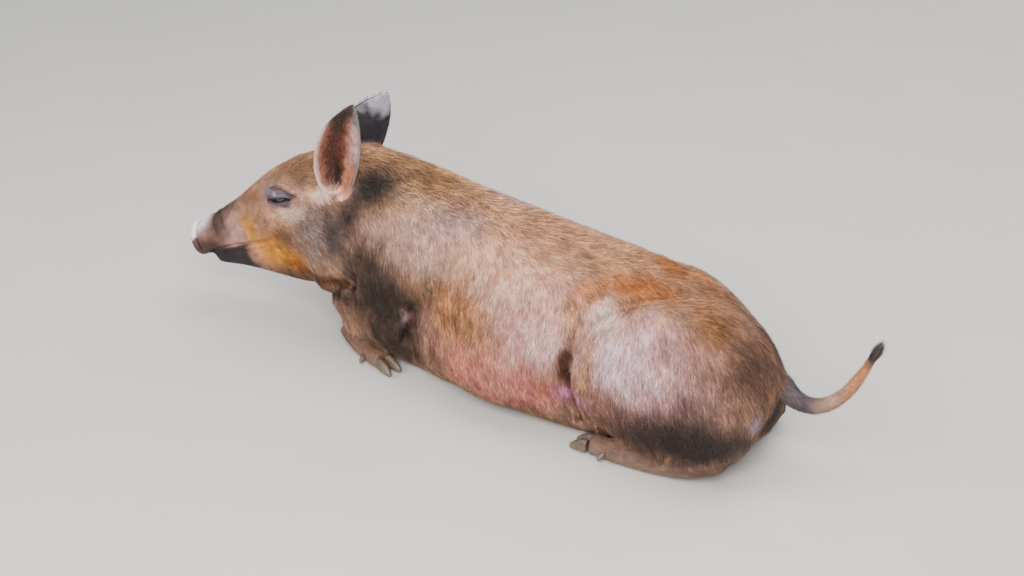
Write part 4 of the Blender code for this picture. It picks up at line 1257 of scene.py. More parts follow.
class Colours:
    """The pig's markings, with painted shade, sheen and highlight among them, the same for skin and coat."""

    HIDE: Triple = (.34, .2, .17)
    HAIR: Triple = (.5, .31, .22)
    VIVID: float = .38
    CONTRAST: float = .6
    PIVOT: float = .45
    EAR_BACK: Triple = (.0205, .016, .0205)
    # a painted reflection of the sky on the upper part of the ear's back
    EAR_TIP: Triple = (.3, .28, .33)
    CUP: Triple = (.23, .1, .075)
    LIPS: Triple = (.008, .008, .011)
    FOOT: Triple = (.096, .05, .034)

    def at(self, points: Array, region: Array, reach: Array) -> tuple[Array, Array]:
        """The colours of skin and hair at some points.

        Args:
            points: their places in the frame.
            region: the number of the region each is in.
            reach: how far up the ear each is, for those on an ear.

        Returns:
            The skin's colour, the hair's colour and the share of the coat that grows at each.
        """
        warp = np.stack([CLOUDS.at(points + shift, .05, 4) for shift in (0.0, 3.0, 6.0)], 1) * .022
        frames = {Place.BODY: in_body(points + warp), Place.HEAD: in_head(points + warp * .5)}
        on_head = region == Region.HEAD
        hide, hair = np.tile(self.HIDE, (len(points), 1)), np.tile(self.HAIR, (len(points), 1))
        grows = np.ones(len(points))
        for mark in MARKS:
            local = frames[mark.place]
            local = np.stack([local[:, 0], np.abs(local[:, 1]), local[:, 2]], 1)
            far = np.linalg.norm((local - mark.centre) / mark.radii, axis=1)
            cover = mark.strength * smooth(1.75, .25, far)
            if mark.place is Place.BODY:
                cover = cover * np.where(on_head, smooth(.1, -.02, frames[Place.HEAD][:, 0]), 1)
            blend(hide, mark.hide, cover)
            blend(hair, mark.hair, cover)
            grows *= 1 - mark.bald * cover
        streaks = CLOUDS.at(in_body(points) * (1, 1, .4), .014, 2)[:, None]
        mottle = 1 + .22 * CLOUDS.at(points, .028, 3)[:, None] * (1, .9, .85) + .16 * streaks
        mottle += .2 * CLOUDS.at(points + 2.0, .009, 2)[:, None]
        grey = .11 * smooth(.1, .6, CLOUDS.at(points + 9.0, .045, 2))[:, None]
        for colour in (hide, hair):
            colour *= mottle
            mean = colour.mean(1, keepdims=True)
            colour += (mean * (.98, .97, 1.05) - colour) * grey
            colour += (colour - mean) * self.VIVID
            colour *= (np.maximum(mean, .01) / self.PIVOT) ** self.CONTRAST
        self.paint_small(points, region, reach, hide, hair)
        small = region >= Region.EAR_BACK
        for colour in (hide, hair):
            colour[small] *= mottle[small]
        return hide.clip(.003, 1), hair.clip(.003, 1), grows

    def paint_small(self, points: Array, region: Array, reach: Array, hide: Array, hair: Array) -> None:
        """Paints lips, ears, tail and feet over the marks, in place.

        Args:
            points: their places in the frame.
            region: the number of the region each is in.
            reach: how far up and across the ear each is.
            hide: the skin's colours, which are changed.
            hair: the hair's colours, which are changed.
        """
        back, cup, tail, foot = (region == kind for kind in (
            Region.EAR_BACK, Region.EAR_CUP, Region.TAIL, Region.FOOT))
        s, t = reach[:, 0], reach[:, 1]
        dark = np.tile(self.EAR_BACK, (len(points), 1))
        blend(dark, (.007, .006, .008), smooth(.34, .16, s))
        # painted sheen: the sky's reflection on the upper part of the ear's back
        blend(dark, self.EAR_TIP, .92 * smooth(.6, .72, s + .12 * CLOUDS.at(points, .02)))
        blend(dark, (.03, .024, .03), smooth(.86, .96, np.abs(t)))
        blend(dark, (.03, .024, .03), smooth(.93, .98, s))
        hide[back], hair[back] = dark[back], dark[back] * 1.2
        warm = np.tile(self.CUP, (len(points), 1))
        t = t + .18 * CLOUDS.at(points + 4.0, .012, 3)
        for colour, cover, across, along in CUPS:
            blend(warm, colour, cover * smooth(*across, t) * smooth(*along, s))
        # painted shade in the deepest part of the cup
        hollow = np.exp(-((t + .25) / .22) ** 2) * smooth(.12, .2, s) * smooth(.5, .3, s)
        for colour, cover in (
                ((.016, .005, .003), hollow),
                ((.56, .32, .26), smooth(.2, .11, s)),
                # a painted highlight along the front rim
                ((.42, .28, .26), .9 * smooth(-.9, -.97, reach[:, 1]) * smooth(.74, .6, s)),
                ((.12, .085, .08), .8 * smooth(.84, .97, reach[:, 1]) * smooth(.2, .3, s)),
                ((.03, .018, .013), smooth(.68, .8, s + .1 * (t < -.2))),
                ((.1, .08, .072), smooth(.35, .6, t) * smooth(.66, .74, s))):
            blend(warm, colour, cover)
        hide[cup], hair[cup] = warm[cup], warm[cup] * .9
        along = in_body(points)
        tan = np.tile((.062, .046, .052), (len(points), 1))
        blend(tan, (.21, .125, .09), smooth(.455, .49, along[:, 0]))
        blend(tan, (.26, .115, .05), smooth(.5, .525, along[:, 0]))
        blend(tan, (.055, .028, .018), smooth(.205, .235, along[:, 2]))
        hide[tail], hair[tail] = tan[tail], tan[tail] * 1.8
        hide[foot], hair[foot] = self.FOOT, np.array(self.FOOT) * 1.6
        head = in_head(points)
        edge = .01 * CLOUDS.at(points + 6.0, .012, 3)
        lips = (smooth(-.1045, -.1095, head[:, 2] + edge * .2) * smooth(.232, .256, head[:, 0] + edge)
                * (region == Region.HEAD) * .96)
        blend(hide, self.LIPS, lips)
        blend(hair, np.array(self.LIPS) * 1.5, lips)


LIES = placed(Lie, (
    ((-.38, 0.0, .34), (1.0, .05, -.05), .07),
    ((-.2, 0.0, .33), (1.0, .15, -.1), .08),
    ((.05, 0.0, .3), (1.0, .15, -.15), .1),
    ((.28, 0.0, .25), (.9, .15, -.35), .1),
    ((.4, 0.0, .15), (.4, .1, -.9), .06),
    ((-.33, .11, .25), (.65, .05, -.75), .07),
    ((-.23, .13, .2), (.35, 0.0, -.95), .08),
    ((-.08, .12, .24), (.25, 0.0, -.95), .09),
    ((.04, .14, .19), (.05, 0.0, -1.0), .08),
    ((-.08, .16, .1), (.45, 0.0, -.8), .08),
    ((.06, .15, .06), (.4, 0.0, -.8), .07),
    ((.13, .13, .2), (.1, 0.0, -1.0), .05),
    ((.24, .15, .2), (.3, 0.0, -.95), .09),
    ((.37, .11, .18), (.3, -.1, -.95), .08),
    ((.26, .15, .06), (.4, 0.0, -.75), .09),
    ((-.3, .12, .1), (.55, 0.0, -.8), .08),
    ((-.42, .06, .11), (.35, .1, -.9), .08),
), (
    ((.28, 0.0, -.06), (-1.0, .1, .05), .06),
    ((.16, 0.0, 0.0), (-1.0, .05, .2), .06),
    ((.06, 0.0, .02), (-1.0, .1, .05), .06),
    ((.18, .06, -.07), (-.95, .2, -.15), .05),
    ((.08, .09, -.08), (-.85, .1, -.45), .06),
    ((.12, .08, -.14), (-.9, .15, -.35), .06),
    ((.04, .095, -.16), (-.65, 0.0, -.75), .06),
    ((.22, .03, -.15), (-1.0, .1, -.1), .06),
    ((.14, 0.0, -.2), (-1.0, 0.0, 0.0), .06),
))


class Field:
    """How the coat grows over the skin: which way, how long, how dense, in what colour."""

    def __init__(self, skin: Skin) -> None:
        """Reads the coat's values at each point of the skin.

        Args:
            skin: the skin.
        """
        self.skin = skin
        self.hide, self.hair, self.grows = Colours().at(skin.points, skin.region, skin.ear_reach)
        # painted shade: skin and hair are darkened in the pressed folds, and the hair there is shorter
        hollow = smooth(.0015, .012, skin.hollow)[:, None]
        for colour in (self.hide, self.hair):
            colour *= 1 - .72 * hollow * (.8, 1.0, 1.1)
        self.way = self.find_ways()
        self.length, self.dense = self.find_lengths()
        self.length *= 1 - .45 * hollow[:, 0]

    def find_ways(self) -> Array:
        """Which way the hair lies at each point, along the skin.

        Returns:
            One direction for each point.
        """
        skin = self.skin
        total = np.zeros((len(skin.points), 3))
        frames = {Place.BODY: BODY, Place.HEAD: HEAD}
        for lie in LIES:
            place = frames[lie.place]
            local = moved(skin.points, place.inverted())
            mirror = np.ones_like(local)
            mirror[local[:, 1] < 0, 1] = -1
            far = np.linalg.norm(local * mirror - lie.centre, axis=1)
            weight = np.exp(-(far / lie.reach) ** 2) + 1e-6 / (far + .01) ** 2
            total += turned(np.array(lie.way) * mirror, place) * weight[:, None]
        self.lay_ears(total)
        for kind, limb in Limb.every():
            found = np.flatnonzero((skin.region == kind) & limb.near(skin.points, .006))
            if len(found):
                total[found] = limb.way(skin.points[found])
        total -= skin.normals * (total * skin.normals).sum(1)[:, None]
        return unit(total)

    def lay_ears(self, total: Array) -> None:
        """Lays the hair of the ears from foot to tip, in place.

        Args:
            total: the ways, which are changed.
        """
        skin = self.skin
        on_ear = np.isin(skin.region, (Region.EAR_BACK, Region.EAR_CUP))
        aside = in_head(skin.points)[:, 1]
        for ear in skin.ears:
            total[on_ear & (np.sign(aside) == ear.side.value)] = turned(ear.directions()[1], HEAD)

    def find_lengths(self) -> tuple[Array, Array]:
        """How long the hair is and how dense it stands at each point.

        Returns:
            Length and density for each point.
        """
        skin = self.skin
        length, dense = ground("length", skin.region), ground("dense", skin.region)
        head, body = in_head(skin.points), in_body(skin.points)
        on_head, on_trunk = skin.region == Region.HEAD, skin.region == Region.TRUNK
        length = np.where(on_head, .004 + .009 * smooth(.3, .06, head[:, 0]), length)
        length = np.where(on_trunk, length + .012 * smooth(-.1, -.34, body[:, 0])
                          * smooth(.06, .015, np.abs(body[:, 1])) * smooth(.24, .3, body[:, 2]), length)
        length = np.where(on_trunk, length * (1 - .35 * smooth(.05, .01, body[:, 2])), length)
        dense = np.where(on_head, dense * smooth(.325, .29, head[:, 0]), dense) * self.grows
        for side in Side:
            eye = Eye(side)
            local = eye.local(skin.points)
            away = eye.away(local[:, 0], local[:, 2])
            near = np.abs(local[:, 1]) < .04
            dense = np.where(near, dense * smooth(.98, 1.12, away), dense)
            length = np.where(near, length * (.45 + .55 * smooth(1.0, 2.2, away)), length)
        low = skin.normals[:, 2] < -.5
        dense = np.where(low & (skin.points[:, 2] < .012), 0, dense)
        mouth = np.abs(head[:, 2] + .1065) < .004
        dense = np.where(on_head & mouth & (head[:, 0] > .19), dense * .15, dense)
        return length, dense


@dataclass(frozen=True)
class Bristles:
    """A crop of hairs, each a thin closed sliver that rises a little and lies back.

    Args:
        count: how many there are.
        width: how wide one is at its root.
        lift: how high its tip stands for each metre of length.
        spread: how much the lengths vary.
        stray: how much the directions vary.
        seed: for the random draw.
    """

    count: int
    width: float = .00062
    lift: float = .2
    spread: float = .38
    stray: float = .22
    seed: int = 5


class Coat:
    """The coat over the skin, in pieces that each cover a stretch of the pig."""

    SLIVER: Array = np.array(((0, 1, 3), (1, 2, 3), (2, 0, 3), (0, 2, 1)))
    LOCK: Array = np.array(((0, 1, 4), (0, 4, 3), (1, 2, 5), (1, 5, 4), (2, 0, 3), (2, 3, 5),
                            (3, 4, 6), (4, 5, 6), (5, 3, 6), (0, 2, 1)))
    PATCH: float = .003
    SWIRL: float = .22
    LOCKS: float = .65
    # how high a hair's middle stands for its tip's height
    BOW: float = .8
    # the shares of dark and of light hairs, with their tones
    DARK: tuple[float, float] = (.28, .42)
    LIGHT: tuple[float, float] = (.36, 1.5)

    def __init__(self, skin: Skin, grown: Field, tree: BVHTree) -> None:
        """Takes the skin, its field of hair and the skin as a tree."""
        self.skin = skin
        self.grown = grown
        self.tree = tree

    def roots(self, crop: Bristles, allowed: Array) -> dict[str, Array]:
        """Draws places on the skin for a crop's hairs.

        Args:
            crop: the crop.
            allowed: how much of it each point of the skin carries.

        Returns:
            The hairs' places, normals, ways, lengths and colours, and the draw itself.
        """
        draw = np.random.default_rng(crop.seed)
        skin, grown = self.skin, self.grown
        corners = np.concatenate([skin.faces[:, [0, 1, 2]], skin.faces[:, [0, 2, 3]]])
        a, b, c = (skin.points[corners[:, k]] for k in range(3))
        area = np.linalg.norm(np.cross(b - a, c - a), axis=1) / 2
        weight = area * (grown.dense * allowed)[corners].mean(1)
        total = np.cumsum(weight)
        chosen = np.searchsorted(total, draw.uniform(0, total[-1], crop.count))
        u, v = draw.uniform(0, 1, (2, crop.count))
        flip = u + v > 1
        u, v = np.where(flip, 1 - u, u), np.where(flip, 1 - v, v)
        share = np.stack([1 - u - v, u, v], 1)[:, :, None]

        def read(values: Array) -> Array:
            """The values at the roots.

            Args:
                values: one value or row for each point of the skin.

            Returns:
                One row for each root.
            """
            picked = values[corners[chosen]]
            if picked.ndim == 2:
                picked = picked[:, :, None]
            return (picked * share).sum(1)

        return {"place": read(skin.points), "normal": unit(read(skin.normals)), "way": unit(read(grown.way)),
                "length": read(grown.length)[:, 0], "colour": read(grown.hair), "draw": draw,
                "region": skin.region[corners[chosen, 0]]}

    def laid(self, crop: Bristles, roots: dict[str, Array]) -> dict[str, Array]:
        """Turns roots into hairs that follow the skin.

        Args:
            crop: the crop.
            roots: what roots() gives.

        Returns:
            The hairs' root, middle and tip places, their ways across and out, widths and colours.
        """
        draw, count = roots["draw"], len(roots["place"])
        normal, way = roots["normal"], roots["way"]
        across = np.cross(normal, way)
        swirl = self.SWIRL * CLOUDS.at(roots["place"] + 5.0, .03)
        stray = swirl + draw.normal(0, crop.stray, count)
        way = unit(way * np.cos(stray)[:, None] + across * np.sin(stray)[:, None])
        across = np.cross(normal, way)
        length = roots["length"] * (1 + draw.uniform(-crop.spread, crop.spread, count))
        lift = crop.lift * length * (.6 + .9 * draw.uniform(0, 1, count))
        tip = roots["place"] + way * length[:, None] + normal * lift[:, None]
        middle = roots["place"] + way * (length * .5)[:, None] + normal * (lift * self.BOW)[:, None]
        for points, height in ((tip, lift), (middle, lift * self.BOW)):
            for i, (point, up) in enumerate(zip(points.tolist(), height.tolist())):
                spot, facing = self.tree.find_nearest(point)[:2]
                points[i] = spot + facing * up
        width = crop.width * (.75 + .5 * draw.uniform(0, 1, count)) * np.clip(length / .012, .6, 1.3)
        locks = 1 + self.LOCKS * CLOUDS.at(roots["place"] * (1, 1, .6), .007, 2)[:, None]
        colour = roots["colour"] * self.shades(draw, count) * locks
        return {"root": roots["place"], "middle": middle, "tip": tip, "across": across, "out": normal,
                "width": width, "colour": np.clip(colour, 0, 1), "region": roots["region"]}

    def shades(self, draw: np.random.Generator, count: int) -> Array:
        """How much lighter or darker, and of what hue, each hair is than its place.

        Args:
            draw: the random draw.
            count: how many hairs there are.

        Returns:
            A factor of red, green and blue for each hair.
        """
        kind = draw.uniform(0, 1, count)
        light = 1 + .15 * draw.normal(0, 1, count)
        light = np.where(kind < self.DARK[0], light * self.DARK[1],
                         np.where(kind > 1 - self.LIGHT[0], light * self.LIGHT[1], light))
        warm = 1 + .06 * draw.normal(0, 1, count)
        return np.stack([light * warm, light, light / warm], 1)

    def slivers(self, name: str, hairs: dict[str, Array], bent: bool) -> Piece:
        """The hairs as one object.

        Args:
            name: its name.
            hairs: what laid() gives.
            bent: whether each hair has a joint in its middle.

        Returns:
            The object, painted and unwrapped.
        """
        root, tip, across, out = (hairs[k] for k in ("root", "tip", "across", "out"))
        half = hairs["width"][:, None] / 2
        count = len(root)
        low = root - out * .0007
        rings = [low + across * half, low - across * half, low + out * half * 1.1]
        # each hair is darker at its root, painted shade deep in the coat, and lighter towards its tip
        shades = [.62, .62, .66]
        if bent:
            middle = hairs["middle"]
            rings += [middle + across * half * .8, middle - across * half * .8, middle + out * half * .7]
            shades += [.95, .95, 1.0]
        rings.append(tip)
        shades.append(1.12)
        points = np.stack(rings, 1)
        pattern = self.LOCK if bent else self.SLIVER
        per = points.shape[1]
        faces = (pattern[None] + np.arange(count)[:, None, None] * per).reshape(-1, 3)
        piece = new_piece(name, points.reshape(-1, 3), faces)
        colour = hairs["colour"][:, None] * np.array(shades)[None, :, None]
        paint(piece, "hair", colour.reshape(-1, 3))
        self.unwrap(piece, self.home(root, hairs["region"]), pattern, per)
        return piece

    def home(self, root: Array, region: Array) -> Array:
        """Where each root lies on the skin unrolled region by region, each in its own part of the map.

        Args:
            root: the places of the roots in the frame.
            region: the number of the region each is in.

        Returns:
            Two coordinates from 0 to 1 for each root.
        """
        body, head = in_body(root), in_head(root)
        found = np.zeros((len(root), 2))

        def place(mine: Array, run: Array, box: tuple[float, float, float, float]) -> None:
            """Lays some of the roots into one box of the map."""
            found[mine] = np.array(box[:2]) + np.clip(run[mine], .01, .99) * box[2:]

        round_body = np.arctan2(body[:, 1], body[:, 2] - .13) / (2 * math.pi) + .5
        round_head = np.arctan2(head[:, 1], head[:, 2] + .1) / (2 * math.pi) + .5
        place(region == Region.TRUNK, np.stack([(body[:, 0] + .42) / .88, round_body], 1),
              (0, 0, .6, 1))
        place(region == Region.HEAD, np.stack([(head[:, 0] + .03) / .38, round_head], 1),
              (.6, .5, .4, .5))
        leaf = np.stack([(head[:, 2] + .06) / .17, (head[:, 0] + .1) / .16], 1)
        for i, (side, kind) in enumerate(itertools.product(Side, (Region.EAR_BACK, Region.EAR_CUP))):
            mine = (region == kind) & (np.sign(head[:, 1]) == side.value)
            place(mine, leaf, (.6 + .1 * i, .3, .1, .2))
        for i, (kind, limb) in enumerate(Limb.every()):
            mine = np.flatnonzero((region == kind) & ((kind is Region.TAIL) | limb.near(root, .006)))
            if len(mine):
                found[mine] = (.6 + .08 * i, 0) + limb.unrolled(root[mine]) * (.08, .3)
        return found

    def unwrap(self, piece: Piece, home: Array, pattern: Array, per: int) -> None:
        """Gives each hair a small patch at its root's place on the map of the skin.

        Args:
            piece: the hairs.
            home: each hair's place on the map.
            pattern: one hair's faces.
            per: how many points a hair has.
        """
        turn = full_turn(per)
        ring = np.stack([np.cos(turn), np.sin(turn)], 1) * self.PATCH / 2
        corner = (home[:, None] + ring[None])[:, pattern.ravel()].reshape(-1, 2)
        layer = piece.data.uv_layers.new(name="OFBake")
        layer.data.foreach_set("uv", np.clip(corner, 0, 1).astype(np.float32).ravel())

    def build(self, scale: float) -> list[Piece]:
        """Grows the coat.

        Args:
            scale: the share of the full number of hairs.

        Returns:
            The pieces of the coat.
        """
        region, reach = self.skin.region, self.skin.ear_reach
        body = in_body(self.skin.points)
        crest = (smooth(.1, -.3, body[:, 0]) * smooth(.075, .02, np.abs(body[:, 1]))
                 * smooth(.25, .31, body[:, 2]) * (region <= Region.HEAD))
        cup = ((region == Region.EAR_CUP) * (.12 + smooth(.15, -.35, reach[:, 1]))
               * smooth(.92, .72, np.abs(reach[:, 1])) * smooth(.88, .74, reach[:, 0]))
        made = []
        for name, crop, allowed, longer, lighter, most in (
                ("coat", Bristles(255000, .00066), np.ones(len(region)), 1.0, 1.0, 49000),
                ("mane", Bristles(6000, .0008, .16, seed=6), crest, 1.25, 1.12, 19000),
                ("ear_fringe", Bristles(1500, .0006, .4, stray=.34, seed=7), cup, 1.9, .75, 19000)):
            roots = self.roots(replace(crop, count=int(crop.count * scale)), allowed)
            roots["length"] *= longer
            roots["colour"] *= lighter
            made += self.parted(name, self.laid(crop, roots), most, name != "coat")
        return made

    def parted(self, name: str, hairs: dict[str, Array], most: int, bent: bool) -> list[Piece]:
        """The hairs as pieces of a limited size, from nose to tail.

        Args:
            name: their name.
            hairs: what laid() gives.
            most: how many hairs a piece may hold.
            bent: whether each hair has a joint in its middle.

        Returns:
            The pieces.
        """
        order = np.argsort(hairs["root"][:, 0], kind="stable")
        pieces = max(1, math.ceil(len(order) / most))
        made = []
        for i, chosen in enumerate(np.array_split(order, pieces)):
            part = {key: values[chosen] for key, values in hairs.items()}
            made.append(self.slivers(f"{name}_{i + 1}" if pieces > 1 else name, part, bent))
        return made


@dataclass(frozen=True)
class Tuft:
    """The dark tuft at the tail's end."""

    hairs: int = 380
    length: float = .03
    core_length: float = .018
    width: float = .0009
    colour: Triple = (.032, .02, .016)

    def ends(self) -> tuple[Array, Array, float]:
        """The tail's end, the way it points and its radius there."""
        line = Limb.tail().line()
        along = line[-1, :3] - line[-4, :3]
        return line[-1, :3], along / np.linalg.norm(along), float(line[-1, 3])

    def core(self) -> tuple[Array, Array]:
        """The tail's fleshy end under the tuft, as a closed shell.

        Returns:
            Its points and its triangles.
        """
        end, along, radius = self.ends()
        beads = [(tuple(end - along * .006), radius * .98), (tuple(end + along * .01), radius * .85),
                 (tuple(end + along * self.core_length), radius * .35)]
        return tube_shell(beads, 8)

    def build(self, coat: Coat) -> Piece:
        """Grows the tuft's hairs from the tail's last stretch.

        Args:
            coat: the coat, which makes the slivers.

        Returns:
            The tuft.
        """
        draw = np.random.default_rng(9)
        end, along, radius = self.ends()
        aside = np.cross(along, (0, 0, 1.0))
        aside /= np.linalg.norm(aside)
        above = np.cross(along, aside)
        turn, back = draw.uniform(0, 2 * math.pi, self.hairs), draw.uniform(-.012, 1.0, self.hairs)
        out = np.cos(turn)[:, None] * aside + np.sin(turn)[:, None] * above
        step = back * self.core_length
        thin = np.interp(step, (0, self.core_length), (.9, .3))
        root = end + along * step[:, None] + out * (radius * thin)[:, None]
        length = self.length * draw.uniform(.6, 1.05, self.hairs) * (1 - .25 * back)
        stray = draw.normal(0, .09, (self.hairs, 3))
        way = unit(along + out * .1 + stray)
        middle = root + way * (length * .5)[:, None]
        tip = middle + unit(along - out * .1 + stray * 1.5) * (length * .5)[:, None]
        shade = 1 + .4 * draw.normal(0, 1, self.hairs)
        shade = np.where(draw.uniform(0, 1, self.hairs) > .8, shade * 3.2, shade)
        hairs = {"root": root, "middle": middle, "tip": tip, "across": unit(np.cross(out, way)), "out": out,
                 "width": np.full(self.hairs, self.width), "region": np.full(self.hairs, Region.TAIL),
                 "colour": np.clip(np.array(self.colour) * np.abs(shade)[:, None], .008, 1)}
        return coat.slivers("tuft", hairs, True)


@dataclass(frozen=True)
class Nose:
    """The nose disc: a thick plate with a rolled rim, two nostrils and a notch below."""

    radii: tuple[float, float] = (.036, .0305)
    half_thickness: float = .007
    nostril_apart: float = .0138
    nostril_depth: float = .0095
    rings: int = 110
    spokes: int = 150

    def build(self) -> Piece:
        """The disc as one closed mesh in the frame.

        Returns:
            The nose disc.
        """
        slope = np.linspace(0.0, math.pi, self.rings)
        turn = full_turn(self.spokes)
        ahead = np.sign(np.cos(slope)) * np.abs(np.cos(slope)) ** .55 * self.half_thickness
        wide = np.abs(np.sin(slope)) ** .62
        x = np.repeat(ahead, self.spokes)
        y = (wide[:, None] * np.cos(turn)[None]).ravel() * self.radii[0]
        z = (wide[:, None] * np.sin(turn)[None]).ravel() * self.radii[1]
        front = smooth(0.0, .004, x)
        r = np.hypot(y / self.radii[0], z / self.radii[1])
        x = x - .0016 * front * smooth(.85, .35, r)
        x = x + .0007 * front * np.exp(-((r - .86) / .09) ** 2)
        pit = np.zeros(len(x))
        for side in Side:
            dy, dz = y - side.value * self.nostril_apart, z - .0012
            lean = side.value * .32
            a = dy * math.cos(lean) + dz * math.sin(lean)
            b = dz * math.cos(lean) - dy * math.sin(lean)
            far = np.hypot(a / .0047, b / .0062)
            pit = np.maximum(pit, smooth(1.15, .55, far))
            x = x + .0011 * front * np.exp(-((far - 1.35) / .3) ** 2)
        x = x - self.nostril_depth * pit * front
        x = x - .0014 * front * np.exp(-(y / .0016) ** 2) * smooth(-.004, -.022, z)
        crinkle = CLOUDS.at(np.stack([y, z, x], 1), .0035, 3)
        x = x + .00028 * crinkle * front * (1 - pit)
        groove = np.sin(np.tile(turn, self.rings) * 46 + crinkle * 2)
        x = x + .00016 * groove * np.exp(-((r - .93) / .06) ** 2)
        local = np.stack([x + AXES.nose_ahead, y, z + AXES.nose_up], 1)
        piece = new_piece("nose", moved(local, HEAD), grid_faces(self.rings, self.spokes, True))
        self.paint_disc(piece, y, z, pit * front, r, crinkle)
        weld(piece)
        return piece

    def paint_disc(self, piece: Piece, y: Array, z: Array, pit: Array, r: Array,
                   crinkle: Array) -> None:
        """Paints the disc grey-pink, with painted shade over its lower part and in the nostrils.

        Args:
            piece: the disc.
            y: how far to the left its points are.
            z: how far up.
            pit: how deep in a nostril, up to 1.
            r: how far from the middle, 1 at the rim.
            crinkle: noise.
        """
        # painted shade over the disc's lower part
        low = smooth(.019, .009, z + .004 * crinkle)
        colour = np.tile((.52, .43, .45), (len(z), 1))
        blend(colour, (.07, .032, .028), low)
        blend(colour, (.6, .54, .58), smooth(.8, .98, r) * (1 - low))
        speck = smooth(.25, .6, CLOUDS.at(np.stack([y, z, z * 0], 1) + 2.0, .008, 2))[:, None]
        colour *= 1 - .35 * speck
        # painted shade, near black, in the nostrils
        blend(colour, (.018, .01, .01), pit)
        paint(piece, "hide", colour)


@dataclass(frozen=True)
class Hooves:
    """The horn of one foot: two hooves and two dewclaws, made finer from their solids."""

    foot: str
    grain: float = .0011

    def nodes(self) -> list[str]:
        """The nodes that this foot's horn stands for."""
        return [f"{self.foot}_{kind}_{row}" for kind in ("hoof", "dewclaw") for row in ("inner", "outer")]

    def build(self) -> Piece:
        """The four pieces of horn as one object, with growth rings.

        Returns:
            The horn.
        """
        shells = [node_shell(node, .0001) for node in self.nodes()]
        piece = melted(f"{self.foot}_horn", shells, self.grain)
        shape = Skin([], self.grain)
        shape.points, shape.faces = points_of(piece), faces_of(piece, 4)
        shape.relax_by(np.full(len(shape.points), 4))
        normals = normals_for(shape.points, shape.faces)
        tilt = shape.points[:, 2] + .45 * shape.points[:, 0]
        rings = np.sin(tilt / .0011 + 2.0 * CLOUDS.at(shape.points, .01))
        shape.points += normals * (.00012 * rings)[:, None]
        shape.points[:, 2] = np.maximum(shape.points[:, 2], FLOOR_GAP)
        set_points(piece, shape.points)
        return piece


class Graph:
    """A node tree that is filled one node at a time."""

    def __init__(self, tree: bpy.types.NodeTree) -> None:
        """Takes the tree."""
        self.tree = tree

    def add(self, kind: str, settings: dict | None = None, **values: object) -> bpy.types.Node:
        """Adds a node.

        Args:
            kind: the node's type.
            settings: the node's own properties.
            **values: a socket to link or a constant for each input, its spaces written as _.

        Returns:
            The node.
        """
        node = self.tree.nodes.new(kind)
        for key, value in (settings or {}).items():
            setattr(node, key, value)
        self.feed(node, **values)
        return node

    def feed(self, node: bpy.types.Node, **values: object) -> None:
        """Links sockets to a node's inputs, and sets constants on them.

        Args:
            node: the node.
            **values: as for add().
        """
        for key, value in values.items():
            numbered = key[0] == "i" and key[1:].isdigit()
            spot = node.inputs[int(key[1:]) if numbered else key.replace("_", " ")]
            if isinstance(value, Socket):
                self.tree.links.new(value, spot)
            else:
                spot.default_value = value

    def place(self) -> Socket:
        """The place on the object, in metres."""
        return self.add("ShaderNodeTexCoord").outputs["Object"]

    def painted(self, name: str) -> Socket:
        """A colour that is stored at the mesh's points."""
        return self.add("ShaderNodeAttribute", {"attribute_name": name}).outputs["Color"]

    def ranged(self, value: Socket, source: tuple, target: tuple, soft: bool = False) -> Socket:
        """A value stretched from one range to another.

        Args:
            value: the value.
            source: its range.
            target: the new range.
            soft: whether it starts and stops softly.

        Returns:
            The stretched value.
        """
        kind = {"interpolation_type": "SMOOTHSTEP" if soft else "LINEAR"}
        return self.add("ShaderNodeMapRange", kind, Value=value, From_Min=source[0], From_Max=source[1],
                        To_Min=target[0], To_Max=target[1]).outputs[0]

    def bumped(self, height: Socket, strength: float, depth: float) -> Socket:
        """The direction that a surface with a fine relief faces."""
        return self.add("ShaderNodeBump", Strength=strength, Distance=depth, Height=height).outputs[0]

    def group(self, name: str, **values: object) -> bpy.types.Node:
        """Adds a shared group by its name, with its values."""
        return self.add("ShaderNodeGroup", {"node_tree": bpy.data.node_groups[name]}, **values)

    def mixed(self, kind: str, factor: object, first: object, second: object) -> Socket:
        """Two colours mixed in a given way."""
        return self.add("ShaderNodeMix", {"data_type": "RGBA", "blend_type": kind}, i0=factor, i6=first,
                        i7=second).outputs[2]

    def counted(self, kind: str, *numbers: object) -> Socket:
        """Numbers put together in a given way."""
        inputs = {f"i{i}": number for i, number in enumerate(numbers)}
        return self.add("ShaderNodeMath", {"operation": kind}, **inputs).outputs[0]


def new_group(name: str, inputs: dict[str, object], outputs: dict[str, str]) -> Graph:
    """Starts a shared node group.

    Args:
        name: its name.
        inputs: each input's name and its default, a number or a colour.
        outputs: each output's name and socket type.

    Returns:
        The group as a graph.
    """
    tree = bpy.data.node_groups.new(name, "ShaderNodeTree")
    for key, value in inputs.items():
        kind = "NodeSocketColor" if isinstance(value, tuple) else "NodeSocketFloat"
        tree.interface.new_socket(name=key, in_out="INPUT", socket_type=kind).default_value = value
    for key, kind in outputs.items():
        tree.interface.new_socket(name=key, in_out="OUTPUT", socket_type=kind)
    return Graph(tree)


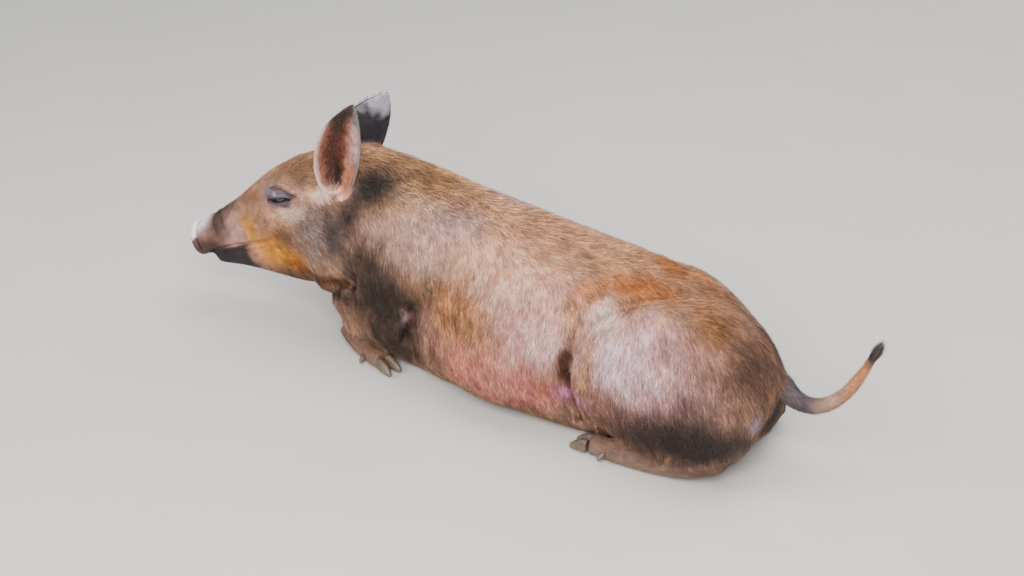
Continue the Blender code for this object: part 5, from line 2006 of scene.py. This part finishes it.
def build_groups() -> None:
    """Makes the shared groups: patches of colour, fine grain, and dust near the floor."""
    grey, colour, number = (.5, .5, .5, 1), "NodeSocketColor", "NodeSocketFloat"
    graph = new_group("Mottle", {"Colour": grey, "Scale": 30.0, "Amount": .2},
                      {"Colour": colour, "Mask": number})
    ends = graph.add("NodeGroupInput").outputs
    noise = graph.add("ShaderNodeTexNoise", Vector=graph.place(), Scale=ends["Scale"], Detail=4.0,
                      Roughness=.6).outputs["Fac"]
    swing = graph.ranged(noise, (.25, .75), (-1.0, 1.0))
    factor = graph.counted("MULTIPLY_ADD", swing, ends["Amount"], 1.0)
    scaled = graph.add("ShaderNodeVectorMath", {"operation": "SCALE"}, i0=ends["Colour"], Scale=factor)
    graph.add("NodeGroupOutput", Colour=scaled.outputs[0], Mask=noise)

    graph = new_group("Grain", {"Fine": 900.0, "Coarse": 220.0, "Balance": .5},
                      {"Height": number, "Value": number})
    ends, place = graph.add("NodeGroupInput").outputs, graph.place()
    fine = graph.add("ShaderNodeTexNoise", Vector=place, Scale=ends["Fine"], Detail=3.0,
                     Roughness=.6).outputs["Fac"]
    cells = graph.add("ShaderNodeTexVoronoi", {"feature": "DISTANCE_TO_EDGE"}, Vector=place,
                      Scale=ends["Coarse"]).outputs["Distance"]
    both = graph.add("ShaderNodeMix", {"data_type": "FLOAT"}, i0=ends["Balance"], i2=fine,
                     i3=graph.ranged(cells, (0.0, .25), (0.0, 1.0))).outputs[0]
    graph.add("NodeGroupOutput", Height=both, Value=fine)

    graph = new_group("Dust", {"Colour": grey, "Dust": (.3, .23, .16, 1), "Reach": .06, "Amount": .4},
                      {"Colour": colour})
    ends, place = graph.add("NodeGroupInput").outputs, graph.place()
    height = graph.add("ShaderNodeSeparateXYZ", i0=place).outputs["Z"]
    noise = graph.add("ShaderNodeTexNoise", Vector=place, Scale=45.0, Detail=5.0,
                      Roughness=.65).outputs["Fac"]
    low = graph.ranged(height, (0.0, graph.counted("MULTIPLY", noise, ends["Reach"])), (1.0, 0.0), True)
    mask = graph.counted("MULTIPLY", low, ends["Amount"])
    graph.add("NodeGroupOutput", Colour=graph.mixed("MIX", mask, ends["Colour"], ends["Dust"]))


def new_material(name: str) -> tuple[bpy.types.Material, Graph, bpy.types.Node]:
    """A material with its graph and its Principled shader."""
    made = bpy.data.materials.new(name)
    made.use_nodes = True
    return made, Graph(made.node_tree), made.node_tree.nodes["Principled BSDF"]


@dataclass(frozen=True)
class HideFinish:
    """Bare skin: painted markings with painted shade, patches, pores and fine creases."""

    name: str = "pig_hide"
    roughness: tuple[float, float] = (.52, .72)
    bump: float = .35
    depth: float = .0006
    fine: float = 1100.0
    coarse: float = 260.0
    wet: float = 0.0
    dust: float = .45

    def build(self) -> bpy.types.Material:
        """Makes the material.

        Returns:
            The material.
        """
        made, graph, shader = new_material(self.name)
        patches = graph.group("Mottle", Colour=graph.painted("hide"), Scale=70.0, Amount=.22)
        dust = graph.group("Dust", Colour=patches.outputs["Colour"], Amount=self.dust)
        grain = graph.group("Grain", Fine=self.fine, Coarse=self.coarse, Balance=.55)
        graph.feed(shader, Base_Color=dust.outputs["Colour"],
                   Roughness=graph.ranged(grain.outputs["Value"], (.3, .7), self.roughness),
                   Normal=graph.bumped(grain.outputs["Height"], self.bump, self.depth),
                   Coat_Weight=self.wet, Coat_Roughness=.25, Specular_IOR_Level=.28,
                   Subsurface_Weight=.08, Subsurface_Radius=(.01, .004, .002))
        return made


@dataclass(frozen=True)
class HairFinish:
    """Hair: each strand's own colour, with a soft gloss."""

    name: str = "pig_hair"
    roughness: tuple[float, float] = (.4, .58)
    dust: float = .35

    def build(self) -> bpy.types.Material:
        """Makes the material.

        Returns:
            The material.
        """
        made, graph, shader = new_material(self.name)
        patches = graph.group("Mottle", Colour=graph.painted("hair"), Scale=160.0, Amount=.15)
        dust = graph.group("Dust", Colour=patches.outputs["Colour"], Amount=self.dust)
        graph.feed(shader, Base_Color=dust.outputs["Colour"],
                   Roughness=graph.ranged(patches.outputs["Mask"], (.3, .7), self.roughness),
                   Specular_IOR_Level=.24, Sheen_Weight=.08, Sheen_Roughness=.5)
        return made


@dataclass(frozen=True)
class EyeFinish:
    """The wet eyeball."""

    name: str = "pig_eye"
    roughness: float = .12
    wet: float = .7

    def build(self) -> bpy.types.Material:
        """Makes the material.

        Returns:
            The material.
        """
        made, graph, shader = new_material(self.name)
        patches = graph.group("Mottle", Colour=graph.painted("tint"), Scale=500.0, Amount=.12)
        graph.feed(shader, Base_Color=patches.outputs["Colour"], Roughness=self.roughness,
                   Coat_Weight=self.wet, Coat_Roughness=.03)
        return made


@dataclass(frozen=True)
class HornFinish:
    """Dull dark horn with growth streaks and dirt low down."""

    name: str = "pig_horn"
    dark: Triple = (.02, .014, .011)
    light: Triple = (.1, .065, .042)
    roughness: tuple[float, float] = (.42, .66)
    streaks: Triple = (120.0, 120.0, 700.0)

    def build(self) -> bpy.types.Material:
        """Makes the material.

        Returns:
            The material.
        """
        made, graph, shader = new_material(self.name)
        scaled = graph.add("ShaderNodeMapping", Vector=graph.place(), Scale=self.streaks).outputs[0]
        streaks = graph.add("ShaderNodeTexNoise", Vector=scaled, Scale=1.0, Detail=4.0).outputs["Fac"]
        colour = graph.mixed("MIX", streaks, (*self.dark, 1), (*self.light, 1))
        patches = graph.group("Mottle", Colour=colour, Scale=180.0, Amount=.35)
        dust = graph.group("Dust", Colour=patches.outputs["Colour"], Amount=.28)
        grain = graph.group("Grain", Fine=1500.0, Coarse=500.0, Balance=.25)
        graph.feed(shader, Base_Color=dust.outputs["Colour"],
                   Roughness=graph.ranged(streaks, (.3, .7), self.roughness),
                   Normal=graph.bumped(grain.outputs["Height"], .3, .0003))
        return made


@dataclass(frozen=True)
class Studio:
    """The pale floor, the soft light and the camera at the photo's angle."""

    azimuth: float = 35.0
    elevation: float = 29.0
    distance: float = 3.2
    pixels_per_metre: float = 600.0
    picture_width: int = 1024
    sensor: float = 36.0
    aim_from_crown: Triple = (.29494, .04007, -.18923)
    floor_size: float = 14.0
    floor_colour: Triple = (.44, .43, .41)
    world_colour: Triple = (.86, .92, 1.0)
    world_strength: float = .54
    # each lamp's name, place, width, power and colour
    LAMPS: ClassVar = (("sky", (.3, .3, 3.2), 3.0, 125.0, (1.0, .98, .95)),
                       ("key", (-2.2, -2.6, 2.4), 1.8, 84.0, (1.0, .95, .88)),
                       ("front", (1.4, -2.5, 2.3), 2.0, 250.0, (1.0, .97, .94)),
                       ("rim", (.5, 3.0, 2.0), 1.6, 40.0, (1.0, .97, .92)))

    def camera(self) -> None:
        """Sets up the camera where the photo was taken from."""
        a, e = math.radians(self.azimuth), math.radians(self.elevation)
        right = Vector((math.cos(a), math.sin(a), 0))
        back = Vector((math.sin(a) * math.cos(e), -math.cos(a) * math.cos(e), math.sin(e)))
        aim = HEAD.translation + Vector(self.aim_from_crown)
        turn = Matrix((right, back.cross(right), back)).transposed().to_4x4()
        lens = bpy.data.cameras.new("camera")
        lens.sensor_width = self.sensor
        lens.lens = self.distance * self.pixels_per_metre / self.picture_width * self.sensor
        camera = linked("camera", lens)
        camera.matrix_world = Matrix.Translation(aim + back * self.distance) @ turn
        bpy.context.scene.camera = camera

    def floor(self) -> None:
        """Lays the floor, with a faint grain."""
        size = self.floor_size
        points = np.array([(-size, -size, 0), (size, -size, 0), (size, size, 0), (-size, size, 0)])
        piece = new_piece("floor", points, np.array([[0, 1, 2, 3]]))
        made, graph, shader = new_material("studio_floor")
        patches = graph.group("Mottle", Colour=(*self.floor_colour, 1), Scale=3.0, Amount=.03)
        grain = graph.group("Grain", Fine=260.0, Coarse=60.0, Balance=0.0)
        graph.feed(shader, Base_Color=patches.outputs["Colour"], Roughness=.85,
                   Normal=graph.bumped(grain.outputs["Height"], .05, .001))
        piece.data.materials.append(made)

    def lights(self) -> None:
        """A broad soft light from above, a key from the camera's left, a strong fill near the camera and a
        rim.
        """
        world = bpy.data.worlds.new("studio")
        world.use_nodes = True
        back = world.node_tree.nodes["Background"]
        back.inputs["Color"].default_value = (*self.world_colour, 1)
        back.inputs["Strength"].default_value = self.world_strength
        bpy.context.scene.world = world
        for name, place, size, power, colour in self.LAMPS:
            light = bpy.data.lights.new(name, "AREA")
            light.shape, light.size, light.energy, light.color = "DISK", size, power, colour
            way = Vector((0, 0, .15)) - Vector(place)
            turn = way.to_track_quat("-Z", "Y").to_matrix().to_4x4()
            linked(name, light).matrix_world = Matrix.Translation(place) @ turn


def dress(piece: Piece, finish: bpy.types.Material, nodes: list[str] = ()) -> None:
    """Gives a piece its finish and its place in the model.

    Args:
        piece: the piece.
        finish: its material.
        nodes: the CAD nodes that it stands for.
    """
    piece.data.materials.clear()
    piece.data.materials.append(finish)
    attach(piece, "root")
    if nodes:
        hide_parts(*nodes)
    LOG.info("%s: %d faces", piece.name, len(piece.data.polygons))


def main() -> None:
    """Builds the pig's looks over the frame."""
    logging.basicConfig(level=logging.INFO, format="%(message)s")
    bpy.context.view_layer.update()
    studio = Studio()
    studio.camera()
    build_groups()
    hide, hair = HideFinish().build(), HairFinish().build()
    horn, wet = HornFinish().build(), EyeFinish().build()
    bare = HideFinish("pig_nose", (.52, .7), bump=.5, depth=.0005, fine=1500.0, coarse=420.0,
                      dust=0.0).build()
    lid = HideFinish("pig_lids", (.42, .58), bump=.4, depth=.0003, fine=1800.0, coarse=700.0,
                     wet=.08, dust=0.0).build()
    ears = [Ear(side) for side in Side]
    skin = Skin(ears, .002)
    skin.build()
    grown = Field(skin)
    paint(skin.piece, "hide", grown.hide)
    dress(skin.piece, hide, FLESH + [f"ear_{side.word}" for side in Side])
    tree = skin.tree()
    coat = Coat(skin, grown, tree)
    for piece in coat.build(1.0):
        dress(piece, hair)
    dress(Tuft().build(coat), hair, ["tail_tuft"])
    dress(Nose().build(), bare, ["nose_disc"])
    for side in Side:
        eye = Eye(side)
        dress(eye.ball(), wet, [f"eye_{side.word}"])
        lids = eye.lids(tree)
        dress(lids, lid)
        dress(eye.lashes(coat, lids), hair)
    for foot in (f"{kind}_{side.word}" for kind in ("forefoot", "hindfoot") for side in Side):
        hooves = Hooves(foot)
        dress(hooves.build(), horn, hooves.nodes())
    studio.floor()
    studio.lights()


if __name__ == "__main__":
    main()
